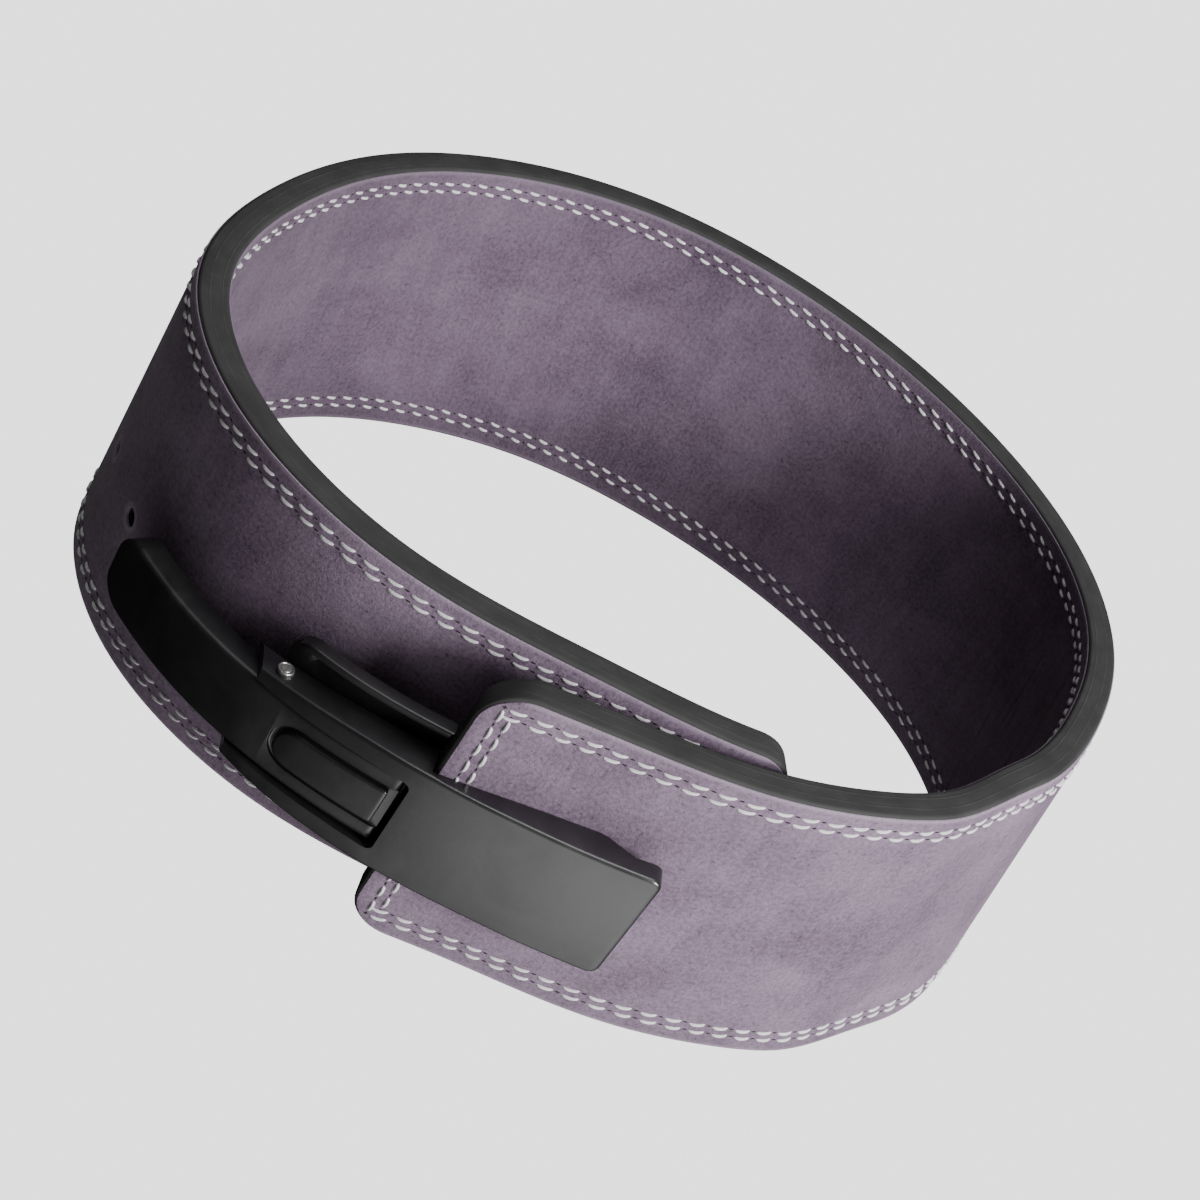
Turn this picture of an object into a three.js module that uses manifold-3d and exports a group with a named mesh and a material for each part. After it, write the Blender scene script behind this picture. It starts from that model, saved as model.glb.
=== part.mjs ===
// Weightlifting belt with an over-centre lever buckle, closed and resting on its bottom edge.
// Millimetres, +Z up along the belt's axis, buckle towards -Y.
import * as THREE from 'three';
import { mergeVertices } from 'three/addons/utils/BufferGeometryUtils.js';
import Module from 'manifold-3d';

const wasm = await Module();
wasm.setup();

// Strap
const STRAP_WIDTH = 102;
const FACING_THICK = 1.5;
const CORE_THICK = 6.6;
const CLEARANCE = 0.3;
const OVERLAP = 85;
const CORNER_RADIUS = 13;
const FACING_INSET = 0.4;
const SEGMENT = 13;
const BUCKLE_SEGMENT = 7;
const ROUND_SIDES = 14;
const OVERCUT = 1;

// Loop seen from above
const LOOP_LENGTH = 300;
const LOOP_DEPTH = 264;
const INNER_END_SHARE = 0.041;

// Outer end standing off the inner end, held away by the buckle between them
const END_LIFT = 12;
const LIFT_REACH = 121;
const STEP_START = 90;
const STEP_LENGTH = 63;

// Lean of the strap wall, in degrees outward at the top rim
const LEAN_MEAN = 2.2;
const LEAN_ONCE = { size: 4.6, peak: 165 };
const LEAN_TWICE = { size: 5.6, peak: 52 };

// Adjustment holes in the inner end
const HOLE_DIAMETER = 6.4;
const HOLE_PITCH = 28;
const HOLE_COUNT = 8;
const FIRST_HOLE = 57;
const HOLE_DEPTH_BELOW_TOP = 63;

// Buckle, measured from the outer strap end: x runs on past the end over the inner strap
const BUCKLE_MIDDLE = 56;
const BUCKLE_TILT = 3.3;
const BUCKLE_BOW = 2.4;
const PLATE = 2.2;

const LEVER_HANDLE = 63;
const LEVER_ARMS = 50;
const LEVER_HALF = 20.3;
const LEVER_TIP_HALF = 16.4;
const LEVER_CORNER = 3;
const ARM_DEPTH = { bridge: 11.4, tip: 8.2 };
const ARM_END_SLANT = 5;
const FINGER_GAP = { length: 16, rise: 4.5 };
const SLOT_START = 3;

const HOOK_REACH = 97;
const HOOK_HALF = 13.8;
const HOOK_TIP_HALF = 11.6;
const HOOK_WALL = 8.4;
const HOOK_CORNER = 9;
const TONGUE = { start: 6.5, finish: 35, half: 6.6, rise: 0.9, corner: 5 };
const TONGUE_GROOVE = { width: 1.4, depth: 1 };
const PRONG = { diameter: 5.4, collar: 9, collarAbove: 1, into: 9 };
const PRONG_HOLES = [3, 4];

const BASE_LENGTH = 44;
const BASE_UPPER_HALF = 28;
const BASE_LOWER_HALF = 22.9;
const BASE_LIP = { thick: 2, rise: 2.6 };
const BASE_CORNER = 7;
const BASE_TIP_FACE = 5.8;
const MOUNT_TONGUE = { length: 38, half: 17 };
const EAR = { thick: 1.6, length: 7.6, above: 0.8 };

const HINGE = { diameter: 2.4, head: 4.8, headThick: 1.2, fromTip: 9, belowFace: 4.6 };
const LINK = { diameter: 3, fromSlot: 6, belowFace: 4.2, bite: 3 };
const SCREW = { diameter: 4, head: 10, headThick: 2, fromEnd: 22, apart: 20 };

// Height of each plate's outer face above the base plate's line, at shares of its length.
// The lever's shares run to its handle below zero and to its arm tips above.
const LEVER_FACE = [
  { share: -1, over: 22.1 },
  { share: -0.54, over: 19.7 },
  { share: 0, over: 13.2 },
  { share: 0.4, over: 11.6 },
  { share: 1, over: 9.1 },
];
const HOOK_FACE = [
  { share: 0.04, over: 11 },
  { share: 0.36, over: 9.7 },
  { share: 0.5, over: 9.4 },
  { share: 0.78, over: 7.4 },
  { share: 1, over: 6.6 },
];

// Direction of each control point from the loop's centre, and its distance as a share
// of the ellipse that the loop's length and depth give. Listed clockwise from front right.
const LOOP_FORM = [
  { direction: 315, reach: 0.84 },
  { direction: 292.5, reach: 0.84 },
  { direction: 270, reach: 0.82 },
  { direction: 247.5, reach: 0.99 },
  { direction: 225, reach: 1.1 },
  { direction: 202.5, reach: 1.12 },
  { direction: 180, reach: 1.04 },
  { direction: 157.5, reach: 1.03 },
  { direction: 135, reach: 1.04 },
  { direction: 112.5, reach: 1.08 },
  { direction: 90, reach: 1.08 },
  { direction: 67.5, reach: 1.08 },
  { direction: 45, reach: 1.07 },
  { direction: 22.5, reach: 1.01 },
  { direction: 0, reach: 0.93 },
  { direction: 337.5, reach: 0.92 },
];

const STRAP_THICK = CORE_THICK + 2 * (FACING_THICK + CLEARANCE);
const LAYER_RISE = STRAP_THICK + CLEARANCE;

const radians = THREE.MathUtils.degToRad;
const lerp = THREE.MathUtils.lerp;

// Closed cubic B-spline through the loop's form, run clockwise
class BeltLine extends THREE.Curve {
  constructor(rows) {
    super();
    this.arcLengthDivisions = 1600;
    this.rows = rows.map(({ direction, reach }) => new THREE.Vector3(
      (LOOP_LENGTH / 2) * reach * Math.cos(radians(direction)),
      (LOOP_DEPTH / 2) * reach * Math.sin(radians(direction)),
      0,
    ));
  }

  getPoint(t, target = new THREE.Vector3()) {
    const count = this.rows.length;
    const place = ((t % 1) + 1) % 1 * count;
    const first = Math.floor(place);
    const f = place - first;
    const weights = [
      (1 - f) ** 3 / 6,
      (3 * f ** 3 - 6 * f ** 2 + 4) / 6,
      (-3 * f ** 3 + 3 * f ** 2 + 3 * f + 1) / 6,
      f ** 3 / 6,
    ];
    target.set(0, 0, 0);
    weights.forEach((weight, k) => {
      target.addScaledVector(this.rows[(first + k + count - 1) % count], weight);
    });
    return target;
  }
}

const line = new BeltLine(LOOP_FORM);
const loopLength = line.getLength();
const strapLength = loopLength + OVERLAP;
const outerEnd = strapLength;

function loopPlace(along) {
  const share = (((INNER_END_SHARE + along / loopLength) % 1) + 1) % 1;
  const point = line.getPointAt(share);
  const tangent = line.getTangentAt(share);
  const outward = new THREE.Vector3(-tangent.y, tangent.x, 0);
  return { point, outward };
}

function lean(along) {
  const turn = (360 * along) / loopLength;
  return LEAN_MEAN
    + LEAN_ONCE.size * Math.cos(radians(turn - LEAN_ONCE.peak))
    + LEAN_TWICE.size * Math.cos(radians(2 * turn - LEAN_TWICE.peak));
}

// A point of the belt: distance along from the inner end, depth below the top rim,
// and distance out from the middle of the inner layer
function onBelt(along, below, out) {
  const { point, outward } = loopPlace(along);
  const above = STRAP_WIDTH / 2 - below;
  const shift = out + above * Math.tan(radians(lean(along)));
  return point.addScaledVector(outward, shift).setZ(STRAP_WIDTH - below);
}

function smootherStep(x) {
  const c = THREE.MathUtils.clamp(x, 0, 1);
  return c * c * c * (c * (6 * c - 15) + 10);
}

// How far out the strap's middle lies as it winds over its own inner end
function layerOut(along) {
  const toInnerEnd = loopLength - along;
  const step = smootherStep((STEP_START - toInnerEnd) / STEP_LENGTH);
  const q = Math.max(0, 1 - (outerEnd - along) / LIFT_REACH);
  return step * LAYER_RISE + END_LIFT * (0.67 * q + 0.33 * q * q);
}

function toManifold(geometry) {
  const bare = geometry.clone();
  bare.deleteAttribute('normal');
  bare.deleteAttribute('uv');
  const merged = mergeVertices(bare, 1e-4);
  return new wasm.Manifold(new wasm.Mesh({
    numProp: 3,
    vertProperties: new Float32Array(merged.attributes.position.array),
    triVerts: new Uint32Array(merged.index.array),
  }));
}

function toGeometry(manifold) {
  const mesh = manifold.getMesh();
  const geometry = new THREE.BufferGeometry();
  geometry.setAttribute('position', new THREE.BufferAttribute(mesh.vertProperties, 3));
  geometry.setIndex(new THREE.BufferAttribute(mesh.triVerts, 1));
  geometry.computeVertexNormals();
  return geometry;
}

function bendGeometry(geometry, place) {
  const position = geometry.attributes.position;
  for (let i = 0; i < position.count; i += 1) {
    const p = place(position.getX(i), position.getY(i), position.getZ(i));
    position.setXYZ(i, p.x, p.y, p.z);
  }
  return geometry;
}

// A unit box cut into steps; its mirror image has the diagonals of its faces the other way
function steppedBox(steps, rows, mirrored) {
  const box = new THREE.BoxGeometry(1, 1, 1, steps, rows, 1);
  if (mirrored) {
    box.scale(1, 1, -1);
    box.index.array.reverse();
  }
  return box;
}

// A bar that follows the belt: bounds(along) gives its top, bottom, inside and outside there
function bentBar(start, finish, bounds, { segment = SEGMENT, rows = 1, mirrored = false } = {}) {
  const steps = Math.max(1, Math.round((finish - start) / segment));
  return toManifold(bendGeometry(steppedBox(steps, rows, mirrored), (x, y, z) => {
    const along = lerp(start, finish, x + 0.5);
    const { top, bottom, inside, outside } = bounds(along);
    return onBelt(along, lerp(top, bottom, y + 0.5), lerp(inside, outside, z + 0.5));
  }));
}

// A prism through the belt's thickness, from a shape drawn in distance along and depth below
// the rim. Its inside and outside are measured from level(along).
function bentPrism(shape, inside, outside, level = () => 0) {
  const prism = new THREE.ExtrudeGeometry(shape, {
    depth: outside - inside, bevelEnabled: false, curveSegments: ROUND_SIDES / 2,
  });
  return toManifold(bendGeometry(prism, (x, y, z) => onBelt(x, y, level(x) + inside + z)));
}

// What rounding a corner takes away: the corner's place and the way it points
function cornerWaste(along, below, alongSign, belowSign, radius, inside, outside) {
  const over = 2 * OVERCUT;
  const shape = new THREE.Shape();
  const steps = 6;
  shape.moveTo(along + alongSign * over, below - belowSign * radius);
  for (let i = 0; i <= steps; i += 1) {
    const angle = (Math.PI / 2) * (i / steps);
    shape.lineTo(
      along - alongSign * radius * (1 - Math.cos(angle)),
      below - belowSign * radius * (1 - Math.sin(angle)),
    );
  }
  shape.lineTo(along - alongSign * radius, below + belowSign * over);
  shape.lineTo(along + alongSign * over, below + belowSign * over);
  return bentPrism(shape, inside, outside);
}

function roundCorners(body, along, alongSign, top, bottom, radius, inside, outside) {
  return body
    .subtract(cornerWaste(along, top, alongSign, -1, radius, inside, outside))
    .subtract(cornerWaste(along, bottom, alongSign, 1, radius, inside, outside));
}

// A round rod through the belt's thickness
function bentRod(along, below, diameter, inside, outside, level) {
  const shape = new THREE.Shape();
  shape.absarc(along, below, diameter / 2, 0, 2 * Math.PI, false);
  return bentPrism(shape, inside, outside, level);
}

const holes = Array.from({ length: HOLE_COUNT }, (_, k) => FIRST_HOLE + k * HOLE_PITCH);

function strapLayer(from, to, inset, mirrored) {
  const top = inset;
  const bottom = STRAP_WIDTH - inset;
  const start = inset;
  const finish = strapLength - inset;
  let body = bentBar(start, finish, (along) => {
    const out = layerOut(along);
    return { top, bottom, inside: out + from, outside: out + to };
  }, { rows: 2, mirrored });
  const radius = CORNER_RADIUS - inset;
  const through = STRAP_THICK / 2 + OVERCUT;
  body = roundCorners(body, start, -1, top, bottom, radius, -through, through);
  const endOut = layerOut(finish);
  const endReach = Math.min(STRAP_THICK, endOut - through);
  body = roundCorners(body, finish, 1, top, bottom, radius, endOut - endReach, endOut + endReach);
  holes.forEach((along) => {
    body = body.subtract(bentRod(along, HOLE_DEPTH_BELOW_TOP, HOLE_DIAMETER, -through, through));
  });
  return body;
}

const coreHalf = CORE_THICK / 2;
const facingFrom = coreHalf + CLEARANCE;
const facingTo = facingFrom + FACING_THICK;

// The buckle's middle line tilts down along the strap and bows a little past its slot
function buckleMiddle(x) {
  const bow = Math.sin(Math.PI * THREE.MathUtils.clamp(x / HOOK_REACH, 0, 1));
  return BUCKLE_MIDDLE + x * Math.tan(radians(BUCKLE_TILT)) + BUCKLE_BOW * bow;
}

const strapFace = (x) => layerOut(outerEnd + x);

// Outer face of the base plate: under the outer strap, then sloping down past its end
function baseFace(x) {
  const underStrap = strapFace(Math.min(x, 0)) - STRAP_THICK - CLEARANCE;
  return lerp(underStrap, BASE_TIP_FACE, THREE.MathUtils.clamp(x / BASE_LENGTH, 0, 1));
}

function faceCurve(rows, place) {
  const places = rows.map(({ share }) => place(share));
  const heights = rows.map(({ over }, k) => baseFace(places[k]) + over);
  const curve = new THREE.CubicInterpolant(places, heights, 1);
  return (x) => curve.evaluate(THREE.MathUtils.clamp(x, places[0], places.at(-1)))[0];
}

const leverFace = faceCurve(LEVER_FACE, (share) => share * (share < 0 ? LEVER_HANDLE : LEVER_ARMS));
const hookFace = faceCurve(HOOK_FACE, (share) => share * HOOK_REACH);
const pastSlot = (x, finish) => Math.max(0, (x - SLOT_START) / (finish - SLOT_START));
const leverHalf = (x) => lerp(LEVER_HALF, LEVER_TIP_HALF, pastSlot(x, LEVER_ARMS) ** 2);
const hookHalf = (x) => lerp(HOOK_HALF, HOOK_TIP_HALF, pastSlot(x, HOOK_REACH));
const armInside = (x) => hookHalf(x) + CLEARANCE;

// A point of the buckle: x past the outer end, y down from its middle line, height above the strap
function onBuckle(x, y, height) {
  return onBelt(OVERLAP + x, buckleMiddle(x) + y, STRAP_THICK / 2 + height);
}

// A bar along the buckle: bounds(x) gives its two sides, and its inside and outside heights
function buckleBar(start, finish, bounds, segment = BUCKLE_SEGMENT) {
  return bentBar(OVERLAP + start, OVERLAP + finish, (along) => {
    const x = along - OVERLAP;
    const { sides, inside, outside } = bounds(x);
    return {
      top: buckleMiddle(x) + Math.min(...sides),
      bottom: buckleMiddle(x) + Math.max(...sides),
      inside: STRAP_THICK / 2 + inside,
      outside: STRAP_THICK / 2 + outside,
    };
  }, { segment });
}

// Rounds the two corners at one end of a plate whose sides lie at y = sides
function roundPlateEnd(body, x, sign, sides, radius, height, reach = 2 * HOOK_WALL) {
  const middle = buckleMiddle(x);
  const out = STRAP_THICK / 2 + height;
  return roundCorners(
    body, OVERLAP + x, sign, middle + sides[0], middle + sides[1], radius, out - reach, out + reach,
  );
}

// A round rod between two points
function rod(start, finish, diameter) {
  const radius = diameter / 2;
  const cylinder = new THREE.CylinderGeometry(radius, radius, start.distanceTo(finish), ROUND_SIDES);
  const direction = finish.clone().sub(start).normalize();
  cylinder.applyQuaternion(new THREE.Quaternion().setFromUnitVectors(new THREE.Vector3(0, 1, 0), direction));
  const middle = start.clone().lerp(finish, 0.5);
  return toManifold(cylinder.translate(middle.x, middle.y, middle.z));
}

function rodAcross({ x, height }, from, to, diameter) {
  return rod(onBuckle(x, from, height), onBuckle(x, to, height), diameter);
}

const bothSides = (body, make) => [-1, 1].reduce((whole, side) => make(whole, side), body);

const hingeX = LEVER_ARMS - HINGE.fromTip;
const hinge = { x: hingeX, height: leverFace(hingeX) - HINGE.belowFace };
const hingeBore = HINGE.diameter + 2 * CLEARANCE;
const linkX = SLOT_START + LINK.fromSlot;
const link = { x: linkX, height: hookFace(linkX) - LINK.belowFace };
const linkBore = LINK.diameter + 2 * CLEARANCE;
const linkHalf = hookHalf(linkX) + LINK.bite;
const earInside = armInside(hingeX);
const earOutside = earInside + EAR.thick;
const earTop = hinge.height + hingeBore / 2 + EAR.above;

function leverBody() {
  const handle = -LEVER_HANDLE;
  const armStart = 2 * CLEARANCE;
  let body = buckleBar(handle, SLOT_START, (x) => ({
    sides: [-leverHalf(x), leverHalf(x)], inside: leverFace(x) - PLATE, outside: leverFace(x),
  }));
  body = bothSides(body, (whole, side) => {
    const wall = buckleBar(handle, armStart, (x) => {
      const gap = THREE.MathUtils.clamp(2 * (1 - (x - handle) / FINGER_GAP.length), 0, 1);
      const foot = strapFace(Math.min(x, 0)) + CLEARANCE + FINGER_GAP.rise * gap;
      return {
        sides: [side * leverHalf(x), side * (leverHalf(x) - PLATE)],
        inside: Math.min(foot, leverFace(x) - PLATE),
        outside: leverFace(x),
      };
    });
    const arm = buckleBar(armStart, LEVER_ARMS, (x) => {
      const depth = lerp(ARM_DEPTH.bridge, ARM_DEPTH.tip, pastSlot(x, LEVER_ARMS));
      return {
        sides: [side * leverHalf(x), side * armInside(x)],
        inside: leverFace(x) - depth,
        outside: leverFace(x),
      };
    });
    const slantStart = LEVER_ARMS - ARM_END_SLANT;
    const endWaste = buckleBar(slantStart, LEVER_ARMS + OVERCUT, (x) => ({
      sides: [side * (LEVER_HALF + OVERCUT), side * (hookHalf(x) - OVERCUT)],
      inside: leverFace(x) - (ARM_DEPTH.tip * (x - slantStart)) / (ARM_END_SLANT + CLEARANCE),
      outside: leverFace(x) + OVERCUT,
    }));
    const earRoom = EAR.length / 2 + 2 * CLEARANCE;
    const earPocket = buckleBar(hingeX - earRoom, hingeX + earRoom, () => ({
      sides: [side * (earInside - CLEARANCE), side * (earOutside + CLEARANCE)],
      inside: 0,
      outside: earTop + CLEARANCE,
    }), earRoom);
    return whole.add(wall).add(arm).subtract(earPocket).subtract(endWaste);
  });
  const handleHalf = leverHalf(handle);
  body = roundPlateEnd(body, handle, -1, [-handleHalf, handleHalf], LEVER_CORNER, leverFace(handle));
  return body
    .subtract(rodAcross(hinge, -2 * LEVER_HALF, 2 * LEVER_HALF, hingeBore))
    .subtract(rodAcross(link, -linkHalf - CLEARANCE, linkHalf + CLEARANCE, linkBore));
}

function hookBody() {
  const start = SLOT_START + 4 * CLEARANCE;
  const plateFloor = (x) => hookFace(x) - PLATE;
  let body = buckleBar(start, HOOK_REACH, (x) => ({
    sides: [-hookHalf(x), hookHalf(x)], inside: hookFace(x) - HOOK_WALL, outside: hookFace(x),
  }));
  body = roundPlateEnd(
    body, HOOK_REACH, 1, [-HOOK_TIP_HALF, HOOK_TIP_HALF], HOOK_CORNER, hookFace(HOOK_REACH),
  );
  const hollowEnd = HOOK_REACH - PLATE;
  const hollowHalf = (x) => hookHalf(x) - PLATE;
  let hollow = buckleBar(start - OVERCUT, hollowEnd, (x) => ({
    sides: [-hollowHalf(x), hollowHalf(x)],
    inside: hookFace(x) - HOOK_WALL - OVERCUT,
    outside: plateFloor(x),
  }));
  hollow = roundPlateEnd(
    hollow, hollowEnd, 1, [-hollowHalf(hollowEnd), hollowHalf(hollowEnd)], HOOK_CORNER - PLATE,
    hookFace(hollowEnd),
  );
  body = body.subtract(hollow);

  const grooveHalf = TONGUE.half + TONGUE_GROOVE.width;
  const grooveEnd = TONGUE.finish + TONGUE_GROOVE.width;
  let groove = buckleBar(start - OVERCUT, grooveEnd, (x) => ({
    sides: [-grooveHalf, grooveHalf], inside: hookFace(x) - TONGUE_GROOVE.depth, outside: hookFace(x) + PLATE,
  }));
  groove = roundPlateEnd(
    groove, grooveEnd, 1, [-grooveHalf, grooveHalf], TONGUE.corner + TONGUE_GROOVE.width, hookFace(grooveEnd),
  );
  let tongue = buckleBar(TONGUE.start, TONGUE.finish, (x) => ({
    sides: [-TONGUE.half, TONGUE.half], inside: plateFloor(x) + PLATE / 4, outside: hookFace(x) + TONGUE.rise,
  }));
  tongue = roundPlateEnd(
    tongue, TONGUE.finish, 1, [-TONGUE.half, TONGUE.half], TONGUE.corner, hookFace(TONGUE.finish),
  );
  body = body
    .subtract(groove)
    .add(tongue)
    .subtract(rodAcross(link, -2 * HOOK_HALF, 2 * HOOK_HALF, linkBore));

  return PRONG_HOLES.reduce((whole, index) => {
    const along = holes[index];
    const surface = STRAP_THICK / 2;
    const root = surface + hookFace(along - OVERLAP) - PLATE / 2;
    return whole
      .add(bentRod(along, HOLE_DEPTH_BELOW_TOP, PRONG.diameter, surface - PRONG.into, root))
      .add(bentRod(along, HOLE_DEPTH_BELOW_TOP, PRONG.collar, surface + PRONG.collarAbove, root));
  }, body);
}

function baseBody() {
  const sides = [-BASE_UPPER_HALF, BASE_LOWER_HALF];
  const underside = (x) => baseFace(x) - PLATE;
  let body = buckleBar(0, BASE_LENGTH, (x) => ({ sides, inside: underside(x), outside: baseFace(x) }));
  sides.forEach((side) => {
    body = body.add(buckleBar(2 * CLEARANCE, BASE_LENGTH, (x) => ({
      sides: [side, side - Math.sign(side) * BASE_LIP.thick],
      inside: underside(x) + PLATE / 2,
      outside: baseFace(x) + BASE_LIP.rise,
    })));
  });
  body = roundPlateEnd(body, BASE_LENGTH, 1, sides, BASE_CORNER, BASE_TIP_FACE, BASE_TIP_FACE);
  body = body.add(buckleBar(-MOUNT_TONGUE.length, CLEARANCE, (x) => ({
    sides: [-MOUNT_TONGUE.half, MOUNT_TONGUE.half], inside: underside(x), outside: baseFace(x),
  })));
  body = bothSides(body, (whole, side) => whole.add(
    buckleBar(hingeX - EAR.length / 2, hingeX + EAR.length / 2, (x) => ({
      sides: [side * earInside, side * earOutside], inside: underside(x) + PLATE / 2, outside: earTop,
    }), EAR.length / 2),
  ));
  body = body.subtract(rodAcross(hinge, -2 * LEVER_HALF, 2 * LEVER_HALF, hingeBore));
  return drillScrews(body);
}

const screwPlaces = [
  { name: 'mount_screw_upper', y: -SCREW.apart / 2 },
  { name: 'mount_screw_lower', y: SCREW.apart / 2 },
];

// A screw's rod, from and to measured outward from the middle of the outer strap
function screwRod(y, from, to, diameter) {
  const below = buckleMiddle(-SCREW.fromEnd) + y;
  return bentRod(outerEnd - SCREW.fromEnd, below, diameter, from, to, layerOut);
}

function drillScrews(body) {
  const bore = SCREW.diameter + 2 * CLEARANCE;
  return screwPlaces.reduce(
    (drilled, { y }) => drilled.subtract(screwRod(y, -STRAP_THICK, STRAP_THICK, bore)), body,
  );
}

function screwBody(y) {
  const outer = STRAP_THICK / 2 + CLEARANCE;
  const inner = -STRAP_THICK / 2 - PLATE - 2 * CLEARANCE;
  return screwRod(y, inner - SCREW.headThick, outer + SCREW.headThick, SCREW.diameter)
    .add(screwRod(y, outer, outer + SCREW.headThick, SCREW.head))
    .add(screwRod(y, inner - SCREW.headThick, inner, SCREW.head));
}

function hingeRivetBody(side) {
  const headSeat = leverHalf(hingeX - HINGE.head / 2) + CLEARANCE;
  const headTop = headSeat + HINGE.headThick;
  return rodAcross(hinge, ...[side * earInside, side * headTop].sort((a, b) => a - b), HINGE.diameter)
    .add(rodAcross(hinge, ...[side * headSeat, side * headTop].sort((a, b) => a - b), HINGE.head));
}

const leather = (color) => new THREE.MeshStandardMaterial({ color, roughness: 0.95, metalness: 0 });
const metal = (color, roughness) => new THREE.MeshStandardMaterial({ color, roughness, metalness: 0.8 });

const suede = leather('#6f6070');
const edgePaint = new THREE.MeshStandardMaterial({ color: '#3b3d3b', roughness: 0.6, metalness: 0 });
const satinBlack = metal('#232323', 0.4);
const steel = metal('#b0b0b0', 0.35);

const belt = new THREE.Group();

function addPiece(name, manifold, material) {
  const mesh = new THREE.Mesh(toGeometry(manifold), material.clone());
  mesh.name = name;
  belt.add(mesh);
}

addPiece('strap_core', drillScrews(strapLayer(-coreHalf, coreHalf, 0, true)), edgePaint);
addPiece('outer_suede', drillScrews(strapLayer(facingFrom, facingTo, FACING_INSET, false)), suede);
addPiece('inner_suede', drillScrews(strapLayer(-facingTo, -facingFrom, FACING_INSET, false)), suede);
addPiece('base_plate', baseBody(), satinBlack);
addPiece('lever', leverBody(), satinBlack);
addPiece('hook_plate', hookBody(), satinBlack);
addPiece('hinge_rivet_upper', hingeRivetBody(-1), steel);
addPiece('hinge_rivet_lower', hingeRivetBody(1), steel);
addPiece('link_pin', rodAcross(link, -linkHalf, linkHalf, LINK.diameter), steel);
screwPlaces.forEach(({ name, y }) => addPiece(name, screwBody(y), steel));

// The origin is under the middle of the whole belt, on the surface it stands on
const box = new THREE.Box3().setFromObject(belt);
const middle = box.getCenter(new THREE.Vector3());
belt.position.set(-middle.x, -middle.y, -box.min.z);

export default belt;
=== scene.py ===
"""A lever-buckle weightlifting belt, dressed in suede, thread, painted edges and satin black steel.

Sizes are millimetres until a mesh is bent onto the belt, which also brings it to metres.
"""

import logging
import math
from dataclasses import dataclass, field
from enum import Enum
from typing import Callable, Iterable, Sequence

import bmesh
import bpy
from mathutils import Matrix, Vector

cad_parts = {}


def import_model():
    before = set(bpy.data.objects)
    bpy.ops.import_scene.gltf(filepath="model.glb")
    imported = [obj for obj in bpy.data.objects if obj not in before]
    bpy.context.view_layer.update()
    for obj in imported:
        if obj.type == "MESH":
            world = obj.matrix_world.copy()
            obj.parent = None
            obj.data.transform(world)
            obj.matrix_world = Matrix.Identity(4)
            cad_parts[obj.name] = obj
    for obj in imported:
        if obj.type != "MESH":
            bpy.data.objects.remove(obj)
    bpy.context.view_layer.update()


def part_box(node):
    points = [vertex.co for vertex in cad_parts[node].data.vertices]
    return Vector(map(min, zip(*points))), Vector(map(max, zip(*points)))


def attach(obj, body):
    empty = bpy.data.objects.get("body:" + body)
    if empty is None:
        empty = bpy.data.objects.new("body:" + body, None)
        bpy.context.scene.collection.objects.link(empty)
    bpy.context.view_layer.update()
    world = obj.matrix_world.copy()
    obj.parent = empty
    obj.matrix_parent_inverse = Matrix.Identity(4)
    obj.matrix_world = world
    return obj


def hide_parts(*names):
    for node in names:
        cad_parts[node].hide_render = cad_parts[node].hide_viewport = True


LOG = logging.getLogger("belt")
MM = 0.001
PLACE = "strap_place"
OVERCUT = 5.0
NEAR = 1e-4

Bend = Callable[[Vector], Vector]
Colour = tuple[float, float, float]


class Side(Enum):
    """The two faces of the strap."""

    OUTER = 1
    INNER = -1


@dataclass(frozen=True)
class LoopPoint:
    """A control point of the loop, by its direction from the centre and its share of the ellipse there."""

    direction: float
    reach: float


LOOP_FORM = (
    LoopPoint(315, 0.84),
    LoopPoint(292.5, 0.84),
    LoopPoint(270, 0.82),
    LoopPoint(247.5, 0.99),
    LoopPoint(225, 1.1),
    LoopPoint(202.5, 1.12),
    LoopPoint(180, 1.04),
    LoopPoint(157.5, 1.03),
    LoopPoint(135, 1.04),
    LoopPoint(112.5, 1.08),
    LoopPoint(90, 1.08),
    LoopPoint(67.5, 1.08),
    LoopPoint(45, 1.07),
    LoopPoint(22.5, 1.01),
    LoopPoint(0, 0.93),
    LoopPoint(337.5, 0.92),
)


def clamp(value: float, low: float, high: float) -> float:
    """The value, held between low and high."""
    return min(max(value, low), high)


def blend(low: float, high: float, share: float) -> float:
    """The value that lies at a share of the way from low to high."""
    return low + (high - low) * share


def smoother_step(x: float) -> float:
    """A smooth rise from 0 to 1 with level ends."""
    c = clamp(x, 0.0, 1.0)
    return c * c * c * (c * (6 * c - 15) + 10)


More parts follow.
